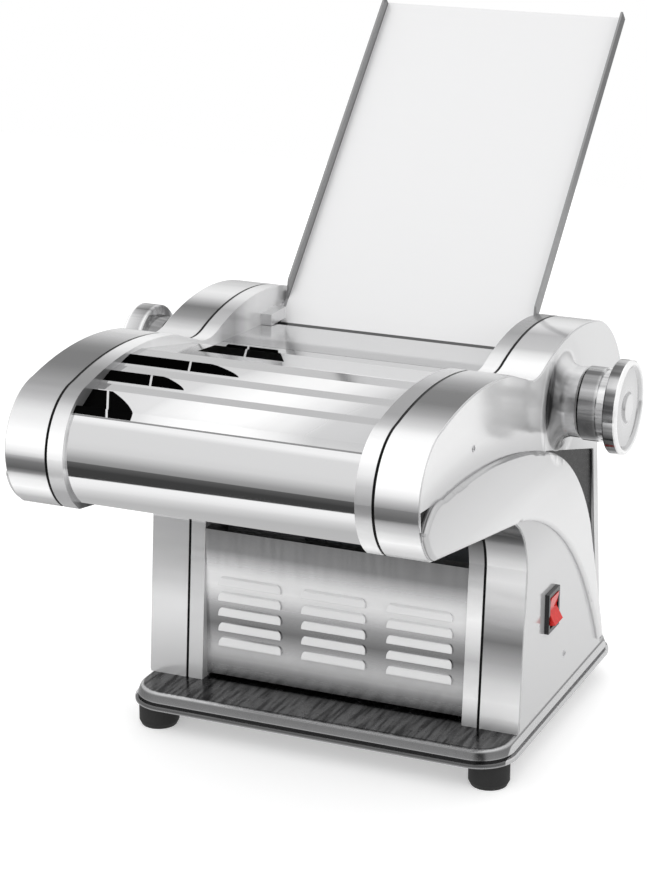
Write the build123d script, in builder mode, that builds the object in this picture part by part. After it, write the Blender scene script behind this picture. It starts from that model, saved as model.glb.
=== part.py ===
from build123d import *
import os
from math import atan2, cos, degrees, hypot, pi, radians, sin, sqrt

os.makedirs("parts", exist_ok=True)

# Electric noodle maker: +X to the right, +Y to the back, +Z up, floor at z = 0.
# The origin is on the floor under the middle of the whole length. Places (y, z) in the side
# view are counted from the middle of the base tray, which stands a little further back, and
# from a drawing line a little below the floor.
mid_y = 16.0
line_z = -4.0
floor = Plane(origin=(0, mid_y, 0))
ground = Plane(origin=(0, mid_y, line_z))
side = Plane(origin=(0, mid_y, line_z), x_dir=(0, 1, 0), z_dir=(1, 0, 0))


def at(x, y, z):
    """The side view place (y, z) at x, as a point of the machine."""
    return x, mid_y + y, line_z + z


# ---- shared levels and widths ------------------------------------------------
tray_top = 33.0          # the body stands on this level
head_reach = 260.0       # how far the head's nose stands before the middle of the tray
frame_in_x = 92.2        # inner faces of the two side frames
frame_web = 4.0
frame_out_x = 102.4      # outer edge of the frame's satin band
gasket_out_x = 104.2     # the cover starts here
face_x = 131.2           # outer face of the side covers
shell_wall = 2.0
face_wall = 4.0
sheet = 1.2
run_fit = 0.05           # radial running clearance of a journal
side_play = 0.3          # end play between a turning piece and its neighbour

# ---- shaft positions, all in the side view (y, z) ------------------------------
knob_y = -15.0
knob_z = 237.0
dough_r = 15.0
dough_gap = 0.3          # between the dough rollers on the thinnest setting
gap_travel = 3.0
fixed_y = -30.0
fixed_z = 200.2
moving_z = fixed_z + 2 * dough_r + dough_gap
cutter_y = -200.0
cutter_low_z = 228.0
cutter_pitch = 27.0
cutter_high_z = cutter_low_z + cutter_pitch
journal_r = 6.0
train_step = 44.0        # centre distance of two meshing drive gears
drive_z = fixed_z - train_step
knob_turn = radians(150)


def mirrored(part):
    """The same piece on the left-hand side."""
    return mirror(part, about=Plane.YZ)


def gear_points(axis, teeth, root_r, tip_r, root_w, tip_w, phase):
    """Corner points of a straight-flanked gear about an axis, first tooth centred on phase (degrees)."""
    points = []
    for tooth in range(teeth):
        middle = radians(phase + tooth * 360 / teeth)
        for radius, side in ((root_r, -root_w), (tip_r, -tip_w), (tip_r, tip_w), (root_r, root_w)):
            turn = side / 2 / radius
            points.append((axis[0] + radius * cos(middle + turn), axis[1] + radius * sin(middle + turn)))
    return points


def along(start, end):
    """Direction in degrees and distance from one (y, z) point to another."""
    return degrees(atan2(end[1] - start[1], end[0] - start[0])), hypot(end[0] - start[0], end[1] - start[1])


def mesh_phase(phase, teeth, start, end, mate_teeth):
    """Phase of the mate at end so that a gap meets the tooth of the gear at start."""
    way = along(start, end)[0]
    return way + 180 + (way - phase) * teeth / mate_teeth + 180 / mate_teeth


# ---- side view outline ---------------------------------------------------------
foot_front_low = (-82.0, tray_top)
foot_front_high = (-73.3, 141.0)
throat_bend = (-81.0, 164.5)
throat = (-102.0, 182.0)
chin = (19.0 - head_reach, 205.5)
nose_low_bend = (5.2 - head_reach, 220.5)
nose = (-head_reach, 241.0)
nose_high_bend = (7.7 - head_reach, 263.0)
brow = (35.0 - head_reach, 279.0)
crown_bend = (-165.0, 285.5)
crown_end = (-112.0, 279.5)
valley_front = (-82.0, 268.5)
valley_bend = (-66.0, 264.6)
valley_back = (-49.0, 267.5)
hump_bend = (8.0, 276.6)
hump_end = (58.0, 270.3)
tail_bend = (92.0, 252.0)
tail = (112.6, 224.5)
notch = (61.0, 233.5)
back_mid = (64.5, 178.0)
heel = (85.0, tray_top)

with BuildSketch() as side_outline:
    with BuildLine():
        Line(foot_front_low, foot_front_high)
        ThreePointArc(foot_front_high, throat_bend, throat)
        Line(throat, chin)
        ThreePointArc(chin, nose_low_bend, nose)
        ThreePointArc(nose, nose_high_bend, brow)
        ThreePointArc(brow, crown_bend, crown_end)
        Line(crown_end, valley_front)
        ThreePointArc(valley_front, valley_bend, valley_back)
        ThreePointArc(valley_back, hump_bend, hump_end)
        ThreePointArc(hump_end, tail_bend, tail)
        Line(tail, notch)
        Line(notch, back_mid)
        Line(back_mid, heel)
        Line(heel, foot_front_low)
    make_face()
outline = side_outline.sketch


def inset(amount):
    """The side outline drawn in by an amount all round."""
    return offset(outline, amount=-amount, kind=Kind.INTERSECTION)


# ---- base tray -------------------------------------------------------------------
tray_x = 134.1
tray_y = 118.0
tray_low = 21.8
tray_lip_h = 2.9
tray_neck_h = 1.8
tray_step = 1.9
neck_in = 3.6
hollow_in = 5.6          # the open underside starts this far inside the lip
wall_lean = 20.0         # degrees that the tray's wall leans inwards
shoulder_r = 4.0
tray_floor = 2.5
tray_corner = 26.0
tray_wall_h = tray_top - tray_low - tray_lip_h - tray_neck_h
foot_x = 117.0           # front pair of feet
rear_foot_x = 98.0
foot_y = 97.0
foot_places = [(foot_x, -foot_y), (-foot_x, -foot_y), (rear_foot_x, foot_y), (-rear_foot_x, foot_y)]
foot_r = 13.4
screw_r = 2.5
screw_bite = 1.7         # how far a foot screw reaches into the tray floor
screw_seat = 9.0         # the screw heads bear inside the feet at this height
screw_long = line_z + tray_top - tray_floor - screw_seat + screw_bite

with BuildPart() as base_tray:
    with BuildSketch(ground.offset(tray_low)):
        RectangleRounded(2 * tray_x, 2 * tray_y, tray_corner)
    extrude(amount=tray_lip_h)
    fillet(base_tray.faces().sort_by(Axis.Z)[-1].edges(), 1.1)
    with BuildSketch(ground.offset(tray_low + tray_lip_h)):
        RectangleRounded(2 * (tray_x - neck_in), 2 * (tray_y - neck_in), tray_corner - neck_in)
    extrude(amount=tray_neck_h)
    with BuildSketch(ground.offset(tray_low + tray_lip_h + tray_neck_h)):
        RectangleRounded(2 * (tray_x - tray_step), 2 * (tray_y - tray_step), tray_corner - tray_step)
    extrude(amount=tray_wall_h, taper=wall_lean)
    fillet(base_tray.faces().sort_by(Axis.Z)[-1].edges(), shoulder_r)
    # open underside
    with BuildSketch(ground.offset(tray_low)):
        RectangleRounded(2 * (tray_x - hollow_in), 2 * (tray_y - hollow_in), tray_corner - hollow_in)
    extrude(amount=tray_top - tray_floor - tray_low, taper=wall_lean / 2, mode=Mode.SUBTRACT)
    # blind holes for the foot screws
    with Locations(ground.offset(tray_top - tray_floor)):
        with Locations(foot_places):
            Cylinder(screw_r, screw_bite, align=(Align.CENTER, Align.CENTER, Align.MIN), mode=Mode.SUBTRACT)
base_tray.part.label = "base_tray"
export_step(base_tray.part, "parts/base_tray.step")

# ---- rubber feet and their screws ------------------------------------------------
foot_neck_r = 8.4

with BuildPart() as one_foot:
    Cylinder(foot_r, line_z + tray_low, align=(Align.CENTER, Align.CENTER, Align.MIN))
    Cylinder(foot_neck_r, line_z + tray_top - tray_floor, align=(Align.CENTER, Align.CENTER, Align.MIN))
    Cylinder(5.6, screw_seat, align=(Align.CENTER, Align.CENTER, Align.MIN), mode=Mode.SUBTRACT)
    Cylinder(screw_r, tray_top, align=(Align.CENTER, Align.CENTER, Align.MIN), mode=Mode.SUBTRACT)
    chamfer(one_foot.faces().sort_by(Axis.Z)[0].outer_wire().edges(), 3.2, 1.6)

with BuildPart() as rubber_feet:
    with Locations(floor):
        with Locations(foot_places):
            add(one_foot.part)
rubber_feet.part.label = "rubber_feet"
export_step(rubber_feet.part, "parts/rubber_feet.step")

with BuildPart() as foot_screws:
    with Locations(floor.offset(screw_seat)):
        with Locations(foot_places):
            Cylinder(4.6, 3.4, align=(Align.CENTER, Align.CENTER, Align.MAX))
            Cylinder(screw_r, screw_long, align=(Align.CENTER, Align.CENTER, Align.MIN))
foot_screws.part.label = "foot_screws"
export_step(foot_screws.part, "parts/foot_screws.step")

# ---- side frames -----------------------------------------------------------------
bush_r = 9.0
cutter_bush_r = 8.0
window_y = 26.0          # slot in the frame web for the sliding bearing block
block_h = 24.0
block_fit = 0.08
window_low = moving_z - block_h / 2 - 0.3
window_high = moving_z + block_h / 2 + gap_travel + 1.0
rod_places = [(-165.0, 266.0), (52.0, 255.4), (40.0, 196.0), (-56.0, 150.0), (62.0, 60.0), (-62.0, 52.0)]
rod_end_r = 4.0
cutter_low = (cutter_y, cutter_low_z)
cutter_high = (cutter_y, cutter_high_z)
fixed_axis = (fixed_y, fixed_z)
drive_axis = (fixed_y, drive_z)

with BuildPart() as side_frame_right:
    with BuildSketch(side.offset(frame_in_x)):
        add(outline)
    extrude(amount=frame_out_x - frame_in_x)
    with BuildSketch(side.offset(frame_in_x + frame_web)):
        add(inset(4.0))
    extrude(amount=frame_out_x - frame_in_x, mode=Mode.SUBTRACT)
    with BuildSketch(side.offset(frame_in_x)):
        with Locations((fixed_y, (window_low + window_high) / 2)):
            Rectangle(window_y, window_high - window_low)
        with Locations(fixed_axis):
            Circle(bush_r)
        with Locations(cutter_low, cutter_high):
            Circle(cutter_bush_r)
        with Locations(rod_places):
            Circle(rod_end_r)
    extrude(amount=frame_web, mode=Mode.SUBTRACT)
side_frame_right.part.label = "side_frame_right"
export_step(side_frame_right.part, "parts/side_frame_right.step")

with BuildPart() as side_frame_left:
    add(mirrored(side_frame_right.part))
    with BuildSketch(side.offset(-frame_in_x)):
        with Locations(drive_axis):
            Circle(bush_r)
    extrude(amount=-frame_web, mode=Mode.SUBTRACT)
side_frame_left.part.label = "side_frame_left"
export_step(side_frame_left.part, "parts/side_frame_left.step")

# ---- tie rods and their nuts -------------------------------------------------------
rod_r = 5.5
nut_h = 5.5

with BuildPart() as tie_rods:
    with BuildSketch(side.offset(-frame_in_x)):
        with Locations(rod_places):
            Circle(rod_r)
    extrude(amount=2 * frame_in_x)
    with BuildSketch(side.offset(-frame_in_x - frame_web - nut_h)):
        with Locations(rod_places):
            Circle(rod_end_r)
    extrude(amount=2 * (frame_in_x + frame_web + nut_h))
tie_rods.part.label = "tie_rods"
export_step(tie_rods.part, "parts/tie_rods.step")

with BuildPart() as nuts_right:
    with BuildSketch(side.offset(frame_in_x + frame_web)):
        with Locations(rod_places):
            RegularPolygon(6.5, 6, major_radius=False)
        with Locations(rod_places):
            Circle(rod_end_r, mode=Mode.SUBTRACT)
    extrude(amount=nut_h)

with BuildPart() as tie_rod_nuts:
    add(nuts_right.part)
    add(mirrored(nuts_right.part))
tie_rod_nuts.part.label = "tie_rod_nuts"
export_step(tie_rod_nuts.part, "parts/tie_rod_nuts.step")

# ---- dark seam gaskets between frame and cover ---------------------------------------
gasket_in = 0.3
gasket_w = 3.0

with BuildPart() as seam_gasket_right:
    with BuildSketch(side.offset(frame_out_x)):
        add(inset(gasket_in))
    extrude(amount=gasket_out_x - frame_out_x)
    with BuildSketch(side.offset(frame_out_x)):
        add(inset(gasket_in + gasket_w))
    extrude(amount=gasket_out_x - frame_out_x, mode=Mode.SUBTRACT)

with BuildPart() as seam_gaskets:
    add(seam_gasket_right.part)
    add(mirrored(seam_gasket_right.part))
seam_gaskets.part.label = "seam_gaskets"
export_step(seam_gaskets.part, "parts/seam_gaskets.step")

# ---- side covers -----------------------------------------------------------------
crease_step = 0.8        # fine step where the cover's band turns into its face
leg_raise = 3.2
pocket_deep = 2.6
inlay_t = 0.9
boss_base_r = 33.0
boss_r = 22.6
boss_end_x = 147.4
left_boss_end_x = 145.4
knob_bush_r = 9.0
cover_screw_places = [(-176.0, 253.0), (5.0, 56.0)]
cover_screw_r = 1.6

# The raised leg in the side view, from the chin back under the head, down to the foot and up again.
leg_nose = (4.4 - head_reach, 226.5)
leg_chin = (19.6 - head_reach, 206.3)
leg_brow = (34.0 - head_reach, 238.4)
leg_fold = (-90.0, 180.0)
leg_knee = (45.0, 89.0)
leg_toe = (75.0, 40.0)
leg_heel = (83.0, 40.0)
leg_back = (46.0, 134.5)
leg_root = (-42.0, 210.5)
fold_bend = (-97.0, 182.4)
shin_bend = (-10.0, 142.8)
ankle_bend = (62.5, 63.0)
heel_bend = (69.5, 76.0)
back_bend = (6.0, 184.0)
leg_swell = 9.0          # rise of the leg's top edge over its chord
top_bend = ((leg_root[0] + leg_brow[0]) / 2, (leg_root[1] + leg_brow[1]) / 2 + leg_swell)
brow_bend = (13.0 - head_reach, 235.6)
nose_bend = (9.6 - head_reach, 215.6)
leg_corner_r = 3.0
head_corners = 5         # the leg's corners from the nose back to the fold

with BuildSketch() as leg_shape:
    with BuildLine():
        Line(leg_chin, throat)
        ThreePointArc(throat, fold_bend, leg_fold)
        ThreePointArc(leg_fold, shin_bend, leg_knee)
        ThreePointArc(leg_knee, ankle_bend, leg_toe)
        Line(leg_toe, leg_heel)
        ThreePointArc(leg_heel, heel_bend, leg_back)
        ThreePointArc(leg_back, back_bend, leg_root)
        ThreePointArc(leg_root, top_bend, leg_brow)
        ThreePointArc(leg_brow, brow_bend, leg_nose)
        ThreePointArc(leg_nose, nose_bend, leg_chin)
    make_face()
    fillet(leg_shape.vertices().sort_by(Axis.X)[:head_corners], leg_corner_r)

# The recesses run on under the leg, which fills them again where it crosses them.
front_pocket_corners = [(1.2 - head_reach, 240.6), leg_brow, (10.0 - head_reach, 225.0),
                        (5.0 - head_reach, 222.0), (2.7 - head_reach, 228.0)]
back_pocket_corners = [(-44.0, 211.6), (54.5, 183.5), (61.5, 128.0), (73.0, 68.0), (66.0, 72.0),
                       (40.0, 134.0), (0.0, 180.0), (-46.0, 206.0)]

with BuildSketch() as front_pocket:
    with BuildLine():
        Polyline(*front_pocket_corners, close=True)
    make_face()

with BuildSketch() as back_pocket:
    with BuildLine():
        Polyline(*back_pocket_corners, close=True)
    make_face()


def cover_shell(boss_end):
    """Right-hand side cover with its raised leg, dark recesses and knob boss."""
    with BuildPart() as raised_leg:
        with BuildSketch(side.offset(face_x - pocket_deep - 0.1)):
            add(leg_shape.sketch)
        extrude(amount=leg_raise + pocket_deep + 0.1)
        fillet(raised_leg.faces().sort_by(Axis.X)[-1].edges(), leg_raise - 0.5)
    boss_long = boss_end - face_x + face_wall
    with BuildPart() as boss:
        with BuildSketch(Plane.XY):
            with BuildLine():
                Line((0, 0), (0, boss_base_r))
                Line((0, boss_base_r), (face_wall, boss_base_r))
                ThreePointArc((face_wall, boss_base_r), (face_wall + 2.8, boss_r + 3.2),
                              (face_wall + 9.0, boss_r))
                Line((face_wall + 9.0, boss_r), (boss_long - 1.0, boss_r))
                Line((boss_long - 1.0, boss_r), (boss_long, boss_r - 1.0))
                Line((boss_long, boss_r - 1.0), (boss_long, 0))
                Line((boss_long, 0), (0, 0))
            make_face()
        revolve(axis=Axis.X)
    with BuildPart() as shell:
        with BuildSketch(side.offset(gasket_out_x)):
            add(outline)
        extrude(amount=face_x - crease_step - gasket_out_x)
        with BuildSketch(side.offset(face_x - crease_step)):
            add(inset(crease_step))
        extrude(amount=crease_step)
        with BuildSketch(side.offset(face_x)):
            add(front_pocket.sketch)
            add(back_pocket.sketch)
        extrude(amount=-pocket_deep, mode=Mode.SUBTRACT)
        add(raised_leg.part)
        add(boss.part.moved(Location(at(face_x - face_wall, knob_y, knob_z))))
        with BuildSketch(side.offset(gasket_out_x)):
            add(inset(shell_wall))
        extrude(amount=face_x - face_wall - gasket_out_x, mode=Mode.SUBTRACT)
        with BuildSketch(side.offset(face_x - face_wall)):
            with Locations((knob_y, knob_z)):
                Circle(knob_bush_r)
        extrude(amount=40, mode=Mode.SUBTRACT)
        with BuildSketch(side.offset(face_x - face_wall)):
            with Locations(cover_screw_places):
                Circle(cover_screw_r)
        extrude(amount=40, mode=Mode.SUBTRACT)
    return shell


# ---- power switch, sizes shared with the cover opening ---------------------------------
switch_y = -27.0
switch_z = 99.0
bezel_y = 21.0
bezel_z = 27.0
bezel_rise = 3.0
body_y = 18.0
body_z = 23.4
body_deep = 24.0

with BuildPart() as cover_right:
    add(cover_shell(boss_end_x).part)
    with BuildSketch(side.offset(face_x - face_wall)):
        with Locations((switch_y, switch_z)):
            Rectangle(body_y, body_z)
    extrude(amount=20, mode=Mode.SUBTRACT)
cover_right.part.label = "cover_right"
export_step(cover_right.part, "parts/cover_right.step")

cover_left = mirrored(cover_shell(left_boss_end_x).part)
cover_left.label = "cover_left"
export_step(cover_left, "parts/cover_left.step")

# ---- dark inlays in the cover recesses ---------------------------------------------------
with BuildPart() as cover_inlays_right:
    with BuildSketch(side.offset(face_x - pocket_deep)):
        add(front_pocket.sketch)
        add(back_pocket.sketch)
    extrude(amount=inlay_t)
with BuildPart() as inlay_trim:
    with Locations(Location(at(0, knob_y, knob_z), (0, 90, 0))):
        Cylinder(boss_base_r, 3 * face_x)
    with BuildSketch(side.offset(face_x - pocket_deep)):
        add(leg_shape.sketch)
    extrude(amount=10)
inlays_right = cover_inlays_right.part - inlay_trim.part

with BuildPart() as cover_inlays:
    add(inlays_right)
    add(mirrored(inlays_right))
cover_inlays.part.label = "cover_inlays"
export_step(cover_inlays.part, "parts/cover_inlays.step")

# ---- small countersunk screws that hold the covers -----------------------------------------
with BuildPart() as screws_right:
    with BuildSketch(side.offset(face_x - face_wall)):
        with Locations(cover_screw_places):
            Circle(cover_screw_r)
    extrude(amount=face_wall + 0.2)

with BuildPart() as cover_screws:
    add(screws_right.part)
    add(mirrored(screws_right.part))
cover_screws.part.label = "cover_screws"
export_step(cover_screws.part, "parts/cover_screws.step")

# ---- front hood, rear panel: bands of sheet that follow the side outline ---------------------


def band(depth, corners):
    """Sheet between the frames, a given depth inside the outline, kept within the corners."""
    with BuildPart() as piece:
        with BuildSketch(side.offset(-frame_in_x)):
            add(inset(depth))
        extrude(amount=2 * frame_in_x)
        with BuildSketch(side.offset(-frame_in_x)):
            add(inset(depth + sheet))
        extrude(amount=2 * frame_in_x, mode=Mode.SUBTRACT)
        with BuildSketch(side.offset(-frame_in_x)):
            with BuildLine():
                Polyline(*corners, close=True)
            make_face()
        extrude(amount=2 * frame_in_x, mode=Mode.INTERSECT)
    return piece


back_long = hypot(heel[0] - back_mid[0], heel[1] - back_mid[1])
back_lean = (back_mid[1] - heel[1]) / back_long
back_rise = (heel[0] - back_mid[0]) / back_long
gland_x = -62.0
gland_z = 70.0
gland_r = 7.0
panel_depth = 2.0
panel_over = hump_end[1] + 30.0
gland_y = heel[0] - (gland_z - heel[1]) * back_rise / back_lean - panel_depth / back_lean
back_plane = Plane(origin=at(0, gland_y, gland_z), x_dir=(1, 0, 0), z_dir=(0, back_lean, back_rise))

hood_depth = 2.6
hood_top = (19.0 - head_reach, 264.0)
hood_low_z = 210.0
hood_before = nose[0] - 40.0
hood_over = hood_top[1] + 36.0
front_hood = band(hood_depth, [(hood_before, hood_low_z), (chin[0] - 3.0, hood_low_z),
                               (chin[0] + 3.0, nose[1]), (hood_top[0] + 1.0, hood_top[1]),
                               (hood_top[0] - 1.6, hood_top[1] + 12.0), (hood_before, hood_over)])
front_hood.part.label = "front_hood"
export_step(front_hood.part, "parts/front_hood.step")

with BuildPart() as rear_panel:
    add(band(panel_depth, [(notch[0] + 11.0, panel_over), (tail[0] + 28.0, panel_over),
                           (tail[0] + 28.0, 30.0), (heel[0] - 5.5, 30.0), (heel[0] - 5.5, 42.0),
                           (notch[0] - 21.0, 42.0), (notch[0] - 21.0, notch[1] + 8.5),
                           (notch[0] + 11.0, notch[1] + 8.5)]).part)
    # cooling slots low in the back and the hole for the cable gland
    with BuildSketch(back_plane):
        with Locations((0, 30)):
            with GridLocations(0, 9, 1, 6):
                SlotOverall(70, 3.6)
        with Locations((gland_x, 0)):
            Circle(gland_r)
    extrude(amount=10, both=True, mode=Mode.SUBTRACT)
rear_panel.part.label = "rear_panel"
export_step(rear_panel.part, "parts/rear_panel.step")


def sheet_between(points, thick=sheet, half=frame_in_x):
    """Bent sheet across the machine; points run along its upper side from front to back."""
    with BuildPart() as piece:
        with BuildSketch(side.offset(-half)):
            with BuildLine():
                Polyline(*points, *[(y, z - thick) for y, z in reversed(points)], close=True)
            make_face()
        extrude(amount=2 * half)
    return piece


deck_front = (-45.0, 257.5)
deck_back = (22.0, 253.0)
head_steps = [(21.0, 274.5), (30.0, 275.6), (42.0, 279.6), (53.0, 280.2), (67.0, 283.0), (83.0, 282.6)]
step_line = [hood_top, *[(hood_top[0] + back, height) for back, height in head_steps],
             (deck_front[0] - 43.0, 268.0), (deck_front[0] - 21.0, 258.9),
             (deck_front[0] - 0.4, deck_front[1])]
step_cover = sheet_between(step_line)
step_cover.part.label = "step_cover"
export_step(step_cover.part, "parts/step_cover.step")

with BuildPart() as top_deck:
    add(sheet_between([deck_front, deck_back], 2.0).part)
    with Locations(at(0, deck_back[0] - 0.8, deck_back[1] - 1.0)):
        Box(2 * frame_in_x, sheet, 9.0, align=(Align.CENTER, Align.CENTER, Align.MAX))
top_deck.part.label = "top_deck"
export_step(top_deck.part, "parts/top_deck.step")

# ---- dough guide, lower guard, apron -----------------------------------------------------
guide_front = (cutter_y + 19.0, cutter_low_z + 11.6)
guide_back = (fixed_y - 19.0, fixed_z + 14.6)
dough_guide = sheet_between([guide_front, guide_back])
dough_guide.part.label = "dough_guide"
export_step(dough_guide.part, "parts/dough_guide.step")

guard_t = 1.6
guard_front = (-196.0, 201.2)
guard_back = (-104.0, 185.6)
lower_guard = sheet_between([guard_front, guard_back], guard_t)
lower_guard.part.label = "lower_guard"
export_step(lower_guard.part, "parts/lower_guard.step")

# ---- louvred motor cover ---------------------------------------------------------------------
panel_y = -74.0
panel_low = 35.4         # a narrow slit is left over the tray
panel_top = 137.5
louvre_long = 45.0
louvre_h = 6.2
louvre_pitch = 10.7
louvre_top = 103.0
louvre_columns = (-60.0, 0.0, 60.0)
louvre_rows = 5

louvre_out = 2.4         # how far a louvre's lower edge stands out
louvre_r = 4.4           # upper corners
louvre_wall = 0.8
panel_lip = 9.0
louvre_places = [at(column, panel_y, louvre_top - louvre_pitch * row - louvre_h / 2)
                 for row in range(louvre_rows) for column in louvre_columns]


def louvre_body(long, high, out, corner_r, low):
    """Wedge with rounded upper corners; it leans out of the panel towards its lower edge."""
    arc_in = corner_r * (1 - sin(radians(45)))
    side_high = high - corner_r
    with BuildPart() as piece:
        with BuildSketch(Plane.XZ.offset(-1.0)):
            with BuildLine():
                Line((-long / 2, low), (long / 2, low))
                Line((long / 2, low), (long / 2, side_high))
                ThreePointArc((long / 2, side_high), (long / 2 - arc_in, high - arc_in),
                              (long / 2 - corner_r, high))
                Line((long / 2 - corner_r, high), (corner_r - long / 2, high))
                ThreePointArc((corner_r - long / 2, high), (arc_in - long / 2, high - arc_in),
                              (-long / 2, side_high))
                Line((-long / 2, side_high), (-long / 2, low))
            make_face()
        extrude(amount=out + 2.0)
        with BuildSketch(Plane.YZ.offset(-long / 2)):
            with BuildLine():
                Polyline((1.0, low), (-out, low), (-out, low + 0.6), (-out * 0.45, high * 0.8), (0.0, high),
                         (1.0, high), close=True)
            make_face()
        extrude(amount=long, mode=Mode.INTERSECT)
    return piece


louvre_shell = louvre_body(louvre_long, louvre_h, louvre_out, louvre_r, 0.0)
louvre_mouth = louvre_body(louvre_long - 2 * louvre_wall, louvre_h - 2 * louvre_wall,
                           louvre_out - louvre_wall, louvre_r - louvre_wall, -0.1)

with BuildPart() as motor_cover:
    with Locations(at(0, panel_y, panel_low)):
        Box(2 * frame_in_x, sheet, panel_top - panel_low, align=(Align.CENTER, Align.MIN, Align.MIN))
    with Locations(at(0, panel_y, panel_top - sheet)):
        Box(2 * frame_in_x, panel_lip, sheet, align=(Align.CENTER, Align.MIN, Align.MIN))
    with Locations(louvre_places):
        add(louvre_shell.part)
    with Locations(louvre_places):
        add(louvre_mouth.part, mode=Mode.SUBTRACT)
    with Locations(louvre_places):
        Box(louvre_long - 2 * louvre_r, sheet * 2, louvre_h - 2 * louvre_wall,
            align=(Align.CENTER, Align.CENTER, Align.MIN), mode=Mode.SUBTRACT)
motor_cover.part.label = "motor_cover"
export_step(motor_cover.part, "parts/motor_cover.step")

# ---- bushes ------------------------------------------------------------------------------
bush_long = 9.0


def bush_pair(places, outer_r):
    """Plain bushes at the same places in both frame webs."""
    with BuildPart() as right:
        with BuildSketch(side.offset(frame_in_x)):
            with Locations(places):
                Circle(outer_r)
            with Locations(places):
                Circle(journal_r + run_fit, mode=Mode.SUBTRACT)
        extrude(amount=bush_long)
    with BuildPart() as both:
        add(right.part)
        add(mirrored(right.part))
    return both


with BuildPart() as drive_bush:
    with BuildSketch(side.offset(-frame_in_x)):
        with Locations(drive_axis):
            Circle(bush_r)
            Circle(journal_r + run_fit, mode=Mode.SUBTRACT)
    extrude(amount=-bush_long)

with BuildPart() as roller_bushes:
    add(bush_pair([fixed_axis], bush_r).part)
    add(bush_pair([cutter_low, cutter_high], cutter_bush_r).part)
    add(drive_bush.part)
roller_bushes.part.label = "roller_bushes"
export_step(roller_bushes.part, "parts/roller_bushes.step")

knob_bush_start = face_x - face_wall - 1.5
with BuildPart() as knob_bushes:
    with BuildSketch(side.offset(knob_bush_start)):
        with Locations((knob_y, knob_z)):
            Circle(knob_bush_r)
            Circle(journal_r + run_fit, mode=Mode.SUBTRACT)
    extrude(amount=boss_end_x - knob_bush_start)
    with BuildSketch(side.offset(-left_boss_end_x)):
        with Locations((knob_y, knob_z)):
            Circle(knob_bush_r)
            Circle(journal_r + run_fit, mode=Mode.SUBTRACT)
    extrude(amount=left_boss_end_x - knob_bush_start)
knob_bushes.part.label = "knob_bushes"
export_step(knob_bushes.part, "parts/knob_bushes.step")

# ---- rollers -------------------------------------------------------------------------------
barrel_left = -82.0
barrel_right = frame_in_x - side_play
inner_gear_x = -91.6
inner_gear_w = 7.6
drive_gear_x = -119.0    # left face of the gear train
drive_gear_w = 7.0
block_out_x = 101.6
journal_end = block_out_x - 1.6


def roller_bar(axis, radius, left_end, right_end, shaft_left, shaft_right):
    """Roller barrel with a journal through it."""
    with BuildPart() as piece:
        with BuildSketch(side.offset(left_end)):
            with Locations(axis):
                Circle(radius)
        extrude(amount=right_end - left_end)
        with BuildSketch(side.offset(shaft_left)):
            with Locations(axis):
                Circle(journal_r)
        extrude(amount=shaft_right - shaft_left)
    return piece


def gear_wheel(axis, start_x, width, points, bore_r):
    """Spur gear at a side view position."""
    with BuildPart() as piece:
        with BuildSketch(side.offset(start_x)):
            with BuildLine():
                Polyline(*points, close=True)
            make_face()
            with Locations(axis):
                Circle(bore_r, mode=Mode.SUBTRACT)
        extrude(amount=width)
    return piece


fixed_roller = roller_bar(fixed_axis, dough_r, barrel_left, barrel_right, drive_gear_x,
                          frame_in_x + bush_long)
fixed_roller.part.label = "fixed_roller"
export_step(fixed_roller.part, "parts/fixed_roller.step")

moving_axis = (fixed_y, moving_z)
moving_roller = roller_bar(moving_axis, dough_r, barrel_left, barrel_right, -journal_end, journal_end)
moving_roller.part.label = "moving_roller"
export_step(moving_roller.part, "parts/moving_roller.step")

# ---- spur gears ------------------------------------------------------------------------------
inner_teeth = 12
train_teeth = 11
fixed_gear = gear_wheel(fixed_axis, inner_gear_x, inner_gear_w,
                        gear_points(fixed_axis, inner_teeth, 12.3, 17.0, 4.6, 1.4, 90), journal_r)
fixed_gear.part.label = "fixed_roller_gear"
export_step(fixed_gear.part, "parts/fixed_roller_gear.step")

moving_gear_phase = mesh_phase(90, inner_teeth, fixed_axis, moving_axis, inner_teeth)
moving_gear = gear_wheel(moving_axis, inner_gear_x, inner_gear_w,
                         gear_points(moving_axis, inner_teeth, 12.3, 17.0, 4.6, 1.4, moving_gear_phase),
                         journal_r)
moving_gear.part.label = "moving_roller_gear"
export_step(moving_gear.part, "parts/moving_roller_gear.step")

# The train from the fixed roller to the lower cutter: three idlers on a shallow arch.
span = along(fixed_axis, cutter_low)[1]
span_way = radians(along(fixed_axis, cutter_low)[0])
arch = sqrt((2 * train_step) ** 2 - (span / 2) ** 2)
idler_middle = (fixed_y + span / 2 * cos(span_way) + arch * sin(span_way),
                fixed_z + span / 2 * sin(span_way) - arch * cos(span_way))
idler_back = ((fixed_y + idler_middle[0]) / 2, (fixed_z + idler_middle[1]) / 2)
idler_front = ((cutter_y + idler_middle[0]) / 2, (cutter_low_z + idler_middle[1]) / 2)
train = [fixed_axis, idler_back, idler_middle, idler_front, cutter_low]
idler_r = 5.0


def train_gear(axis, phase, bore_r):
    """One wheel of the drive train in the left cover."""
    points = gear_points(axis, train_teeth, 17.8, 25.4, 7.0, 2.2, phase)
    return gear_wheel(axis, drive_gear_x, drive_gear_w, points, bore_r)


phases = [along(train[0], train[1])[0]]
for start, end in zip(train, train[1:]):
    phases.append(mesh_phase(phases[-1], train_teeth, start, end, train_teeth))

fixed_drive_gear = train_gear(fixed_axis, phases[0], journal_r)
fixed_drive_gear.part.label = "fixed_drive_gear"
export_step(fixed_drive_gear.part, "parts/fixed_drive_gear.step")

for number in (1, 2, 3):
    idler = train_gear(train[number], phases[number], idler_r + run_fit)
    idler.part.label = f"idler_gear_{number}"
    export_step(idler.part, f"parts/idler_gear_{number}.step")

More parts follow.
